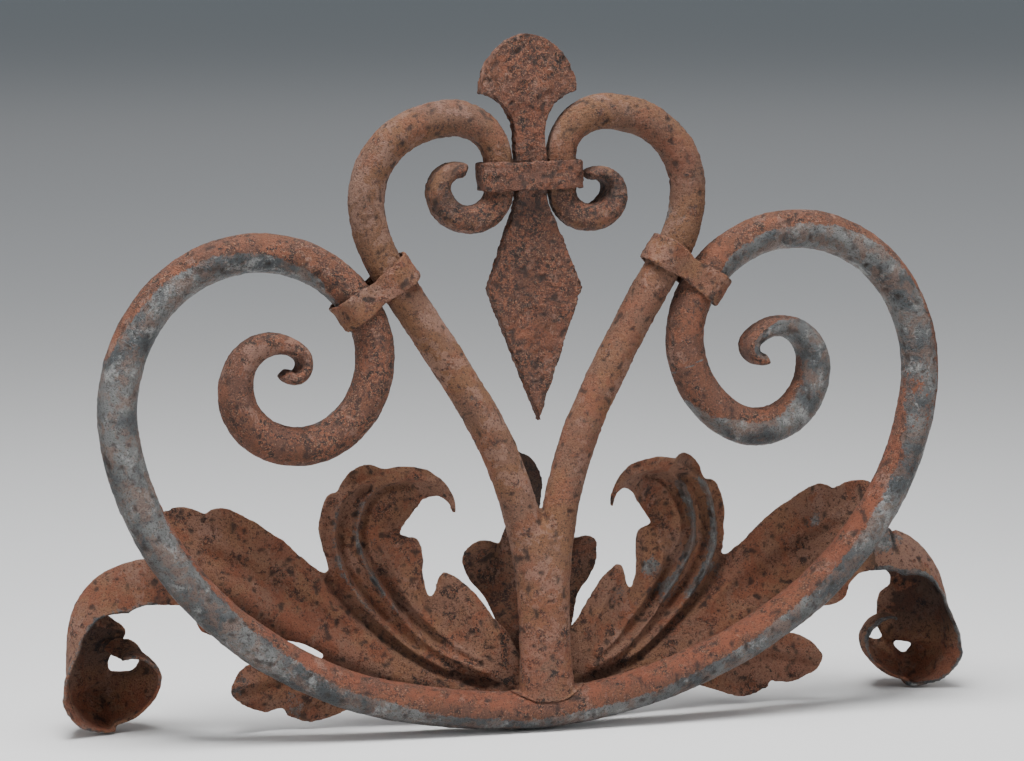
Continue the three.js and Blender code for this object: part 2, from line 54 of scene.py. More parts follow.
# Lengths are in millimetres until a mesh is made, as in the CAD source
MM = 0.001
LEAN_BACK = 2.5
LEAN_LEFT = 1.4
LEANING = np.array((Matrix.Rotation(math.radians(-LEAN_LEFT), 3, "Y")
                    @ Matrix.Rotation(math.radians(-LEAN_BACK), 3, "X")))
SWAY = math.tan(math.radians(LEAN_LEFT))

# Gap between pieces that touch on the real work
GAP = 0.35
OUTER_BAR = 19.6
OUTER_TIP = (7, 22)
TIP_LENGTH = 95
OUTER_START = (-6, 9.9)
OUTER_LEFT = [(336, 12), (179, 14), (187, 18), (149, 35), (81, 44), (67, 44), (59, 68), (44, 86),
              (34, 62), (27, 90), (18, 108), (7, 105), (4.5, 90)]
OUTER_RIGHT = [(257, 23), (220, 13), (164, 19), (147, 24), (79, 36), (66, 41), (60, 77), (47, 95),
               (28, 67), (30, 61), (18, 131), (6, 95), (4.5, 60)]
HEART_BAR = 18.6
STEM_WIDTH = 26
ARM_START = (4, 60)
ARM_LEFT = [(212, -29), (1640, -2.6), (64, 29), (38.5, 71), (53, 21), (22.3, 92)]
ARM_RIGHT = [(230, -27), (700, -6), (64, 30), (37, 70), (53, 21), (21.8, 92)]
NECK_LEFT = 11.6
NECK_RIGHT = 16.5
NECK_SIZE = (14.2, 16)
NECK_ASIDE = 15.7
SQUARING = 34
CURL_LEFT = [(15, 176), (9.5, 95), (5, 28)]
CURL_RIGHT = [(13, 180), (8.5, 95), (5, 40)]
CURL_TIP_LEFT = (9, 20)
CURL_TIP_RIGHT = (6.5, 24)
LILY_THICK = 9.5
STRAP_THICK = 3.0
SIDE_STRAP_HEIGHT = 15.6
TOP_STRAP_HEIGHT = 15.2


# Number helpers

def smooth(low, high, value):
    t = np.clip((np.asarray(value, float) - low) / (high - low), 0, 1)
    return t * t * (3 - 2 * t)


def lerp(a, b, t):
    return a + (b - a) * t


def hills(points, scale, seed):
    """Smooth noise between about -1 and 1 at points in millimetres, with lumps of the given size."""
    shift = Vector((seed * 17.3, seed * 5.1, seed * 9.7))
    return np.array([noise.noise(Vector(p) / scale + shift) for p in points])


def trace(start, heading, bends, step):
    """Rows of x, z, heading and distance along a chain of bends, each a radius and an angle."""
    x, z = start
    head = math.radians(heading)
    rows = [(x, z, head, 0.0)]
    distance = 0.0
    for radius, degrees in bends:
        turn = math.radians(degrees)
        length = radius * abs(turn)
        count = max(1, math.ceil(length / step))
        signed = math.copysign(radius, turn)
        for _ in range(count):
            after = head + turn / count
            x += signed * (math.sin(after) - math.sin(head))
            z -= signed * (math.cos(after) - math.cos(head))
            head = after
            distance += length / count
            rows.append((x, z, head, distance))
    return np.array(rows)


def mirrored(rows):
    rows = rows.copy()
    rows[:, 0] *= -1
    rows[:, 2] = math.pi - rows[:, 2]
    return rows


# Mesh helpers

def new_object(name, points, faces):
    mesh = bpy.data.meshes.new(name)
    mesh.from_pydata([tuple(p) for p in np.asarray(points) * MM], [], faces)
    mesh.validate()
    obj = bpy.data.objects.new(name, mesh)
    bpy.context.scene.collection.objects.link(obj)
    fix = bmesh.new()
    fix.from_mesh(mesh)
    bmesh.ops.recalc_face_normals(fix, faces=fix.faces)
    fix.to_mesh(mesh)
    fix.free()
    return obj


def apply_modifiers(obj):
    graph = bpy.context.evaluated_depsgraph_get()
    mesh = bpy.data.meshes.new_from_object(obj.evaluated_get(graph))
    obj.modifiers.clear()
    obj.data = mesh


def merge(objects, name):
    """One object with the faces of all of them; the others are removed."""
    joined = bmesh.new()
    for obj in objects:
        joined.from_mesh(obj.data)
        bpy.data.objects.remove(obj)
    mesh = bpy.data.meshes.new(name)
    joined.to_mesh(mesh)
    joined.free()
    obj = bpy.data.objects.new(name, mesh)
    bpy.context.scene.collection.objects.link(obj)
    return obj


def fuse(obj, voxel, rounds=0, factor=0.5):
    """Welds overlapping bodies into one skin and rounds its edges a little."""
    remesh = obj.modifiers.new("fuse", "REMESH")
    remesh.mode = "VOXEL"
    remesh.voxel_size = voxel * MM
    if rounds:
        relax = obj.modifiers.new("relax", "SMOOTH")
        relax.iterations = rounds
        relax.factor = factor
    apply_modifiers(obj)


def positions(obj):
    co = np.zeros(len(obj.data.vertices) * 3)
    obj.data.vertices.foreach_get("co", co)
    return co.reshape(-1, 3) / MM


def normals(obj):
    flat = np.zeros(len(obj.data.vertices) * 3)
    obj.data.vertices.foreach_get("normal", flat)
    return flat.reshape(-1, 3)


def set_positions(obj, points):
    obj.data.vertices.foreach_set("co", (np.asarray(points) * MM).ravel())
    obj.data.update()


def corrode(obj, seed, dents=0.35, crust=0.3, grain=0.22, dent_size=22.0):
    """Hammer dents, patches of thick crust, pits and grain, all cut inwards."""
    points = positions(obj)
    facing = normals(obj)
    dent = hills(points, dent_size, seed)
    thick = smooth(-0.1, 0.12, hills(points, 9.0, seed + 1) + 0.6 * hills(points, 3.0, seed + 2))
    pit = smooth(0.3, 0.6, hills(points, 3.6, seed + 3))
    lumps = hills(points, 2.1, seed + 4)
    depth = dents * (dent - 0.6) - crust * (1 - thick) - 0.45 * pit * (0.4 + 0.6 * thick)
    depth += grain * (lumps - 0.6) * (0.45 + 0.55 * thick)
    set_positions(obj, points + facing * depth[:, None])
    mark(obj, "crust", thick)
    mark(obj, "pitted", pit)


def mark(obj, name, values):
    layer = obj.data.attributes.get(name) or obj.data.attributes.new(name, "FLOAT", "POINT")
    layer.data.foreach_set("value", np.asarray(values, np.float32))


def lean(obj):
    set_positions(obj, positions(obj) @ LEANING.T)


def shade_smooth(obj):
    obj.data.polygons.foreach_set("use_smooth", [True] * len(obj.data.polygons))


# Bars

def sweep(name, rows, thick, deep, square, sides):
    """A round or flattened bar along a centreline, closed with domed ends."""
    turn = np.linspace(0, 2 * math.pi, sides, endpoint=False)
    across = np.sign(np.cos(turn)) * np.abs(np.cos(turn)) ** square[:, None] * thick[:, None] / 2
    behind = np.sign(np.sin(turn)) * np.abs(np.sin(turn)) ** square[:, None] * deep[:, None] / 2
    heading = rows[:, 2][:, None]
    rings = np.stack([
        rows[:, 0][:, None] - np.sin(heading) * across,
        behind,
        rows[:, 1][:, None] + np.cos(heading) * across], axis=2)
    points = list(rings.reshape(-1, 3))
    faces = []
    for i in range(len(rows) - 1):
        for k in range(sides):
            after = (k + 1) % sides
            faces.append((i * sides + k, i * sides + after, (i + 1) * sides + after, (i + 1) * sides + k))
    for row, way in ((0, -1), (len(rows) - 1, 1)):
        first = row * sides
        for reach, share in ((0.14, 0.75), (0.2, 0.4)):
            centre = np.array([rows[row, 0], 0, rows[row, 1]])
            along = np.array([math.cos(rows[row, 2]), 0, math.sin(rows[row, 2])]) * way
            ring = centre + (rings[row] - centre) * share + along * thick[row] * reach
            start = len(points)
            points.extend(ring)
            for k in range(sides):
                after = (k + 1) % sides
                faces.append((first + k, first + after, start + after, start + k))
            first = start
        faces.append(tuple(range(first, first + sides)))
    return new_object(name, points, faces)


def outer_rows(step):
    left = trace((-OUTER_START[0], OUTER_START[1]), 2, OUTER_LEFT, step)
    right = trace(OUTER_START, 1, OUTER_RIGHT, step)
    to_tip = np.concatenate([(left[-1, 3] - left[:, 3])[::-1][:-1], right[-1, 3] - right[:, 3]])
    back = mirrored(left)[::-1][:-1]
    back[:, 2] += math.pi
    return np.vstack([back, right]), to_tip


# Zinc paint on the outer bar: place along it, and the band round it from outer (-1) to inner (1)
ZINC_BAND = np.array([
    (-450, 1.1, 1.6), (-410, 0.45, 1.6), (-380, -0.1, 1.6), (-345, -0.4, 1.6), (-310, -0.7, 1.6),
    (-280, -1.6, 1.1), (-240, -1.6, 0.9), (-200, -1.6, 0.75), (-160, -1.6, 0.55), (-120, -1.6, 0.2),
    (-80, -1.6, -0.1), (-40, -1.6, -0.35), (0, -1.6, -0.4), (60, -1.6, -0.2), (110, -1.6, 0.05),
    (160, -1.6, 0.2), (200, -1.6, 0.35), (235, -1.2, 0.5), (270, -0.9, 1.0), (300, -0.6, 1.6),
    (330, -0.6, 1.6), (366, -0.35, 1.6), (400, -0.1, 1.6), (430, 0.05, 1.6), (455, 0.9, 1.6),
    (470, 1.2, 1.6), (485, 1.2, 1.6), (490, -1.6, -1.5), (505, -1.6, -0.9), (525, -1.6, 0.0),
    (560, -1.6, 0.55), (590, -1.4, 0.9), (606, -0.9, 1.5), (625, -0.2, 1.6), (646, 0.2, 1.6)])


def outer_bar():
    rows, to_tip = outer_rows(1.15)
    sides = 60
    taper = 1 - smooth(0, TIP_LENGTH, to_tip)
    thick = lerp(OUTER_BAR, OUTER_TIP[0], taper ** 1.3)
    deep = lerp(OUTER_BAR - 0.4, OUTER_TIP[1], taper)
    bar = sweep("outer_bar_iron", rows, thick, deep, 1 - 0.35 * taper, sides)
    count = len(bar.data.vertices)
    middle = int(np.argmin(np.hypot(rows[:, 0] - OUTER_START[0], rows[:, 1] - OUTER_START[1])))
    length = np.concatenate([[0], np.cumsum(np.hypot(np.diff(rows[:, 0]), np.diff(rows[:, 1])))])
    along = np.repeat(length - length[middle], sides)
    inner = np.tile(np.cos(np.linspace(0, 2 * math.pi, sides, endpoint=False)), len(rows))
    along = np.concatenate([along, np.full(count - len(along), along[-1])])
    inner = np.concatenate([inner, np.zeros(count - len(inner))])
    low = np.interp(along, ZINC_BAND[:, 0], ZINC_BAND[:, 1])
    high = np.interp(along, ZINC_BAND[:, 0], ZINC_BAND[:, 2])
    zinc = smooth(low - 0.5, low + 0.35, inner) * (1 - smooth(high - 0.35, high + 0.5, inner))
    worn = smooth(200, 235, along) * (1 - smooth(285, 310, along))
    zinc = zinc * lerp(1, 0.66, worn)
    base = 1 - smooth(215, 300, np.abs(along))
    mark(bar, "zinc", zinc)
    mark(bar, "warm", 0.85 * smooth(0.0, 0.6, inner) * base)
    # Painted shade: the outer side of the bar near the base, its underside towards the floor, is darkened.
    mark(bar, "grime_and_painted_shade", 0.5 * (1 - smooth(-1.0, -0.7, inner)) * base)
    left_end = 1 - smooth(-600, -560, along)
    right_spot = smooth(440, 470, along) * (1 - smooth(480, 500, along))
    left_scroll = smooth(-560, -520, along) * (1 - smooth(-430, -400, along))
    mark(bar, "pale", 0.7 * left_end + 0.3 * right_spot)
    mark(bar, "scaly", 0.55 + 0.35 * left_scroll)
    corrode(bar, 3, dents=0.3, crust=0.25)
    lean(bar)
    return bar


def arm(name, bends, neck, curl, tip, left):
    rows = trace(ARM_START, 89, bends, 1.5)
    top = rows[-1]
    straight = trace((top[0], top[1]), -90, [(1e5, math.degrees(neck / 1e5))], 1.5)
    down = trace((top[0], top[1] - neck), -90, curl, 1.0)
    straight[:, 3] += top[3]
    down[:, 3] += top[3] + neck
    straight[:, 2] = -math.pi / 2
    rows = np.vstack([rows, straight[1:], down[1:]])
    along = rows[:, 3]
    to_neck = smooth(top[3] - SQUARING, top[3], along)
    curled = np.clip((along - top[3] - neck) / (along[-1] - top[3] - neck), 0, 1)
    thick = lerp(lerp(HEART_BAR, NECK_SIZE[0], to_neck), tip[0], smooth(0.5, 1, curled))
    deep = lerp(lerp(HEART_BAR, NECK_SIZE[1], to_neck), tip[1], smooth(0, 0.5, curled))
    if left:
        rows = mirrored(rows)
    return sweep(name, rows, thick, deep, 1 - 0.3 * to_neck, 40)


def heart_bar():
    z = np.linspace(12.4, 97, 40)
    t = (z - z[0]) / (z[-1] - z[0])
    rows = np.stack([0 * z, z, 0 * z + math.pi / 2, z], axis=1)
    width = STEM_WIDTH + 3 * (1 - smooth(0, 0.3, t)) + 4 * smooth(0.6, 1, t)
    width += 9 * (1 - smooth(0, 0.12, t)) ** 2
    stem = sweep("stem", rows, width, 0 * z + HEART_BAR, 0 * z + 0.85, 40)
    right = arm("arm_right", ARM_RIGHT, NECK_RIGHT, CURL_RIGHT, CURL_TIP_RIGHT, False)
    left = arm("arm_left", ARM_LEFT, NECK_LEFT, CURL_LEFT, CURL_TIP_LEFT, True)
    bar = merge([stem, right, left], "heart_bar_iron")
    fuse(bar, 0.85, 2)
    corrode(bar, 11, dents=0.35, crust=0.3, grain=0.26)
    clear_of_outer(bar)
    points = positions(bar)
    mark(bar, "zinc", zone(points, [
        (-34, 165, 9, 0.42), (62, 225, 9, 0.45), (14, 84, 9, 0.4), (70, 250, 12, 0.42)]))
    mark(bar, "warm", zone(points, [
        (0, 30, 40, 0.5), (35, 150, 20, 0.55), (55, 190, 20, 0.5), (72, 275, 16, 0.6)]))
    # Painted shade in the hollows of the top curls and under the top collar; the upper part of the bar is
    # also made a little darker.
    curl_and_collar_shade = 0.7 * zone(points, [(0, 262, 14, 0.8), (-42, 258, 10, 0.9), (38, 262, 9, 1.0)])
    mark(bar, "grime_and_painted_shade", np.maximum(curl_and_collar_shade, 0.2 * smooth(212, 245, points[:, 2])))
    left_arm = smooth(20, 60, -points[:, 0]) * smooth(210, 240, points[:, 2])
    mark(bar, "pale", 0.15 + 0.4 * left_arm + 0.3 * (1 - smooth(170, 215, points[:, 2])))
    low_curls = (1 - smooth(268, 282, points[:, 2])) * (1 - smooth(48, 54, np.abs(points[:, 0])))
    low_curls *= smooth(230, 245, points[:, 2])
    mark(bar, "scaly", 0.12 + 0.75 * low_curls + 0.3 * (1 - smooth(30, 90, points[:, 2])))
    lean(bar)
    return bar


def clear_of_outer(obj):
    """The foot of the stem is forged to sit on the outer bar, so nothing of it goes inside the bar."""
    points = positions(obj)
    rows, _ = outer_rows(1.0)
    near = rows[np.abs(rows[:, 0]) < 40]
    near = near[near[:, 1] < 40]
    low = np.where((points[:, 2] < 30) & (np.abs(points[:, 0]) < 30))[0]
    radius = OUTER_BAR / 2 + 0.15
    for i in low:
        x, y, z = points[i]
        row = near[np.argmin(np.abs(near[:, 0] - x))]
        room = radius ** 2 - y ** 2
        if room > 0:
            points[i, 2] = max(z, row[1] + math.sqrt(room))
    set_positions(obj, points)


# Lily plate

def lily_outline():
    fan_z, fan_height, fan_half, neck, neck_z = 312, 26, 24.3, 8.1, 291
    top, top_half, wide_z, wide_half, tip = 252, 10.3, 215, 24, 151

    def bend(a, b, c, count=8):
        t = np.linspace(0, 1, count, endpoint=False)[:, None]
        a, b, c = (np.array(v, float) for v in (a, b, c))
        return list((1 - t) ** 2 * a + 2 * t * (1 - t) * b + t * t * c)

    right = [np.array((0.0, tip)), np.array((wide_half, wide_z)), np.array((top_half, top))]
    right += bend((top_half, top), (neck, top + 4), (neck, top + 9))[1:]
    right += bend((neck, top + 9), (neck, neck_z - 8), (neck, neck_z), 4)
    right += bend((neck, neck_z), (neck + 2, fan_z - 6), (fan_half, fan_z - 3))
    angles = np.linspace(0, math.pi / 2, 20)
    right += [np.array((fan_half, fan_z - 3.0))]
    right += [np.array((fan_half * abs(math.cos(a)) ** 1.14, fan_z + fan_height * math.sin(a) ** 1.14))
              for a in angles]
    left = [np.array((-p[0], p[1])) for p in right[1:-1]][::-1]
    return np.array(right + left)


def lily_plate():
    outline = lily_outline()
    half = LILY_THICK / 2
    count = len(outline)
    points = [(x, -half, z) for x, z in outline] + [(x, half, z) for x, z in outline]
    faces = [tuple(range(count)), tuple(range(2 * count - 1, count - 1, -1))]
    for k in range(count):
        after = (k + 1) % count
        faces.append((k, after, after + count, k + count))
    plate = new_object("lily_plate_iron", points, faces)
    fuse(plate, 0.6, 4)
    points = positions(plate)
    # The edges are eaten away in notches
    worn = smooth(0.1, 0.6, hills(points, 3.0, 41)) * 0.9
    side = np.abs(normals(plate)[:, 1]) < 0.8
    set_positions(plate, points - normals(plate) * (worn * side)[:, None])
    corrode(plate, 23, dents=0.4, crust=0.45, grain=0.4)
    points = positions(plate)
    mark(plate, "zinc", np.zeros(len(points)))
    mark(plate, "warm", 0.1 + 0.4 * zone(points, [(0, 300, 16, 1.0), (5, 200, 16, 1.0)]))
    # Darker round the neck of the plate below the top collar, and a little darker all over.
    mark(plate, "grime_and_painted_shade", 0.35 * zone(points, [(0, 255, 18, 1.0), (-6, 230, 14, 0.6)]) + 0.12)
    pale = zone(points, [
        (-20, 320, 9, 1.0), (20, 318, 7, 0.8), (-8, 290, 7, 0.7), (2, 190, 12, 0.8), (-6, 218, 9, 0.7)])
    mark(plate, "pale", 0.8 * pale)
    mark(plate, "scaly", 1 - 0.65 * pale)
    lean(plate)
    return plate


# Collars

def strap_ring(name, path, height, thick, axes, centre, pinch=0.0):
    """A strap bent round a closed path. axes are across, deep and along; height runs along."""
    count = len(path)
    ahead = np.roll(path, -1, axis=0) - np.roll(path, 1, axis=0)
    ahead /= np.linalg.norm(ahead, axis=1)[:, None]
    outward = np.stack([ahead[:, 1], -ahead[:, 0]], axis=1)
    corner = 1.4
    section = []
    for sx, sz, start in ((1, 1, 0), (-1, 1, 90), (-1, -1, 180), (1, -1, 270)):
        for a in (0, 30, 60, 90):
            turn = math.radians(start + a)
            section.append((sx * (thick / 2 - corner) + corner * math.cos(turn),
                            sz * (height / 2 - corner) + corner * math.sin(turn)))
    section = np.array(section)
    across, deep, along = (np.array(a, float) for a in axes)
    points = []
    half_width = np.abs(path[:, 0]).max()
    for p, out in zip(path, outward):
        # The strap is hammered wider where it turns round each bar
        spread = 1 - pinch * math.exp(-((p[0] / (half_width * 0.3)) ** 2))
        for reach, rise in section:
            flat = p + out * reach
            points.append(np.array(centre) + across * flat[0] + deep * flat[1] + along * rise * spread)
    sides = len(section)
    faces = []
    for i in range(count):
        for k in range(sides):
            a, b = i * sides + k, i * sides + (k + 1) % sides
            c = ((i + 1) % count) * sides
            faces.append((a, b, c + (k + 1) % sides, c + k))
    return new_object(name, points, faces)


def oval_path(half_width, half_depth, radius, waist, count=180):
    """A rounded oblong whose long sides dip in the middle."""
    points = []
    corners = ((1, 1, 0), (-1, 1, 90), (-1, -1, 180), (1, -1, 270))
    for sx, sy, start in corners:
        for a in np.linspace(0, 90, count // 8):
            turn = math.radians(start + a)
            points.append((sx * (half_width - radius) + radius * math.cos(turn),
                           sy * (half_depth - radius) + radius * math.sin(turn)))
    points = np.array(points)
    closed = np.vstack([points, points[:1]])
    length = np.concatenate([[0], np.cumsum(np.linalg.norm(np.diff(closed, axis=0), axis=1))])
    at = np.linspace(0, length[-1], count, endpoint=False)
    even = np.stack([np.interp(at, length, closed[:, k]) for k in (0, 1)], axis=1)
    flat = np.abs(even[:, 0]) / (half_width - radius * 0.5)
    even[:, 1] *= 1 - waist / half_depth * np.clip(1 - flat ** 2, 0, 1)
    return even


def nearest(rows, place):
    gaps = np.hypot(rows[:, 0] - place[0], rows[:, 1] - place[1])
    return rows[np.argmin(gaps)][:2]


def side_collar(name, place, left, seed):
    bends = ARM_LEFT if left else ARM_RIGHT
    rows = trace(ARM_START, 89, bends, 0.8)
    if left:
        rows = mirrored(rows)
    inner = nearest(rows, place)
    outer = nearest(outer_rows(0.8)[0], place)
    gap = np.linalg.norm(outer - inner)
    across = np.array([outer[0] - inner[0], 0, outer[1] - inner[1]]) / gap
    deep = np.array([0, 1, 0])
    along = np.cross(across, deep)
    middle = (gap + (OUTER_BAR - HEART_BAR) / 2) / 2
    centre = np.array([inner[0], 0, inner[1]]) + across * middle
    half_width = (gap + (OUTER_BAR + HEART_BAR) / 2) / 2 + GAP + STRAP_THICK / 2
    path = oval_path(half_width, OUTER_BAR / 2 + GAP + STRAP_THICK / 2, 10.8, 2.6)
    ring = strap_ring(name, path, SIDE_STRAP_HEIGHT, STRAP_THICK, (across, deep, along), centre, 0.16)
    fuse(ring, 0.6, 5, 0.6)
    corrode(ring, seed, dents=0.7, crust=0.35, grain=0.3, dent_size=9.0)
    count = len(ring.data.vertices)
    for attribute, amount in (("zinc", 0.0), ("warm", 0.3), ("grime_and_painted_shade", 0.05), ("pale", 0.4), ("scaly", 0.3)):
        mark(ring, attribute, np.full(count, amount))
    lean(ring)
    return ring


def top_collar():
    half_width = NECK_ASIDE + NECK_SIZE[0] / 2 + GAP + STRAP_THICK / 2
    path = oval_path(half_width, NECK_SIZE[1] / 2 + GAP + STRAP_THICK / 2, 5.5, 0)
    axes = ((1, 0, 0), (0, 1, 0), (0, 0, -1))
    ring = strap_ring("collar_top_iron", path, TOP_STRAP_HEIGHT, STRAP_THICK, axes, (0, 0, 269.5))
    fuse(ring, 0.6, 5, 0.6)
    corrode(ring, 31, dents=0.6, crust=0.4, grain=0.36, dent_size=10.0)
    points = positions(ring)
    mark(ring, "zinc", np.zeros(len(points)))
    mark(ring, "scaly", np.full(len(points), 0.75))
    mark(ring, "warm", np.full(len(points), 0.25))
    mark(ring, "grime_and_painted_shade", np.full(len(points), 0.15))
    mark(ring, "pale", 0.9 * zone(points, [(-18, 270, 7, 1.0)]) + 0.1)
    lean(ring)
    return ring


# Leaves

SHEET = 2.5
FOOT_SHEET = 2.3
MIDRIB = np.array([
    (0, 16), (45, 20), (71, 27), (90, 35), (109, 45), (129, 57), (147, 70), (190, 92)], float)
LEAF_EDGE = [
    [(0.4, 12), (45, 11), (56, 6.5), (66, 10), (80, 12), (92, 9)],
    [(92, 9), (103, 5), (113, 3.5), (124, 7)],
    [(124, 7), (125, 11)],
    [(125, 11), (135, 9.5), (146, 14.5), (151.5, 20), (149.5, 28), (139.5, 35), (120, 37), (99, 36)],
    [(99, 36), (107, 38.5), (116, 43.5), (140, 49.5), (157, 48), (165.5, 51.5), (167.5, 58)],
    [(167.5, 58), (174, 65.5)],
    [(174, 65.5), (178, 84)],
    [(178, 84), (185, 98), (183.5, 108), (176, 112), (168, 111.5), (160, 108.5)],
    [(160, 108.5), (157, 110.5), (149, 110.5), (135, 102.5), (122, 93.5), (111, 83), (100, 75.5)],
    [(100, 75.5), (102.5, 85), (104.2, 98), (102.5, 107), (99.5, 114), (94.5, 115.2)],
    [(94.5, 115.2), (90.5, 123), (84, 128.6), (78.5, 130), (74.5, 128.3)],
    [(74.5, 128.3), (65, 130), (55, 128.5), (46, 123), (40.5, 115), (38.7, 106)],
    [(38.7, 106), (41, 104.8)],
    [(41, 104.8), (43, 110.5), (47.5, 113), (53, 110.5), (57, 104.5)],
    [(57, 104.5), (60, 100.5), (64.5, 93.6)],
    [(64.5, 93.6), (59.5, 93.3), (55.5, 91), (54, 84), (54, 72), (51.5, 62.5)],
    [(51.5, 62.5), (48.7, 67), (47.5, 73), (44, 76), (38, 73), (31, 66.5), (23, 55.5), (14, 45)],
    [(14, 45), (0.4, 44)],
]
REAR_EDGE = [
    [(0, 20), (13, 22), (19, 48)],
    [(19, 48), (24, 61), (31, 70), (34.5, 79), (32.5, 88), (26, 92), (14, 87.5)],
    [(14, 87.5), (9, 98), (11.5, 116), (7, 127), (0, 131)],
]
# Creases hammered into the side leaf: a line on the sheet, its height towards the front and half width
CREASES = [
    ([(50, 121), (62, 123), (70, 121), (78, 115.5), (83.5, 106.5), (86, 96.5), (85, 86.5), (81.5, 78),
      (75, 67), (67, 55.5), (60, 46), (45, 35), (27, 27)], 3.6, 1.9),
    ([(73, 126), (88, 117.5), (94.5, 108), (97, 95.5), (96.5, 86), (93.5, 75.5), (85, 62), (75, 50.5),
      (61, 37), (45, 27)], 3.1, 1.9),
    ([(60, 118.5), (69, 116.5), (75.5, 111.5), (80.5, 104), (82.6, 96), (81.6, 87.5), (78.2, 79.5),
      (72, 69), (64, 57.5)], -3.6, 1.5),
    ([(79, 117.5), (86.5, 113), (91.2, 105.5), (93.6, 95.5), (93, 86.5), (90.2, 77), (82, 64.5),
      (72, 53)], -3.1, 1.4),
    ([(80, 112), (88, 105), (91.5, 95), (90.5, 85), (87, 76), (79, 63), (70, 51), (58, 40)], -1.6, 2.8),
    ([(86, 122), (96, 112), (100.5, 98), (99.5, 84), (96, 73)], -2.0, 2.2),
    ([(66, 91), (68.5, 79.5), (65, 67.5), (58, 56), (44, 42), (30, 33)], 2.6, 2.0),
    ([(76, 88), (74, 79), (69, 67), (61, 55), (48, 42)], -2.8, 3.0),
    ([(59, 88), (60, 78), (58, 68), (53, 58)], -1.3, 2.4),
    ([(101, 74), (93, 62), (82, 50.5), (68, 38.5), (52, 29), (36, 23), (18, 19)], -4.2, 2.3),
    ([(160, 95), (144, 88), (125, 78.5), (110, 68), (90, 52)], 1.5, 2.6),
    ([(160, 88), (140, 78), (122, 66), (100, 50), (80, 37), (50, 22)], -1.6, 4.5),
    ([(150, 20), (132, 22.5), (115, 25), (96, 24)], -1.8, 1.8),
    ([(149, 24), (132, 27), (115, 29)], 1.4, 2.4),
    ([(121, 7), (108, 11), (95, 15)], -1.2, 1.6),
    ([(44, 72), (38, 62), (29, 50), (18, 38)], 1.4, 2.6),
    ([(40, 70), (32, 58), (22, 46)], -0.8, 1.8),
]
# The crease along which painted shade is laid
PAINTED_SHADE_FOLD = 9


def spline(points, segment):
    """Points along a smooth curve through the given ones, without the last."""
    knots = np.array(points, float)
    if len(knots) == 2:
        return [knots[0]]
    padded = np.vstack([2 * knots[0] - knots[1], knots, 2 * knots[-1] - knots[-2]])
    out = []
    for i in range(1, len(padded) - 2):
        a, b, c, d = padded[i - 1:i + 3]
        count = max(1, round(np.linalg.norm(c - b) / segment))
        for t in np.arange(count) / count:
            out.append(0.5 * (2 * b + (c - a) * t + (2 * a - 5 * b + 4 * c - d) * t ** 2
                              + (3 * b - a - 3 * c + d) * t ** 3))
    return out


def outline_of(runs, segment):
    return np.array([p for run in runs for p in spline(run, segment)])


def ridge_gap(x, z, line):
    """Distance from each point to a line of short stretches."""
    knots = np.array(spline(line, 3.0) + [np.array(line[-1], float)])
    best = np.full(np.shape(x), 1e9)
    for a, b in zip(knots[:-1], knots[1:]):
        way = b - a
        t = np.clip(((x - a[0]) * way[0] + (z - a[1]) * way[1]) / (way @ way), 0, 1)
        best = np.minimum(best, np.hypot(x - a[0] - way[0] * t, z - a[1] - way[1] * t))
    return best


def leaf_depth(x, z):
    flush = 10.2 + 0.0437 * z
    away = smooth(15, 70, x)
    ridge = np.exp(-(((z - np.interp(x, MIDRIB[:, 0], MIDRIB[:, 1])) / 15) ** 2))
    dx, dz = x - 68, z - 97
    angle = np.degrees(np.arctan2(dz, dx))
    angle = np.where(angle < -60, angle + 360, angle)
    curl = 12 * smooth(45, 95, angle) * smooth(19, 35, np.hypot(dx, dz))
    crest = smooth(80, 95, z) * (1 - smooth(105, 125, x))
    lobe = 5 * np.exp(-(((x - 150) / 16) ** 2) - (((z - 22) / 14) ** 2))
    open_depth = 28 + 4.5 * crest * smooth(62, 95, x) - crest * curl - lobe
    return lerp(flush, lerp(open_depth, 18, ridge), away)


def leaf_relief(x, z):
    """How far the hammered relief stands towards the front; hollows are negative."""
    relief = 0 * x
    for line, height, width in CREASES:
        relief = relief + height * np.exp(-((ridge_gap(x, z, line) / width) ** 2))
    bowl = 7.0 * np.exp(-(((x - 68) / 12) ** 2) - (((z - 106) / 12) ** 2))
    rim = 3.5 * smooth(117, 124, z) * smooth(50, 60, x) * (1 - smooth(70, 84, x))
    return (relief - bowl + rim) * smooth(14, 34, x)


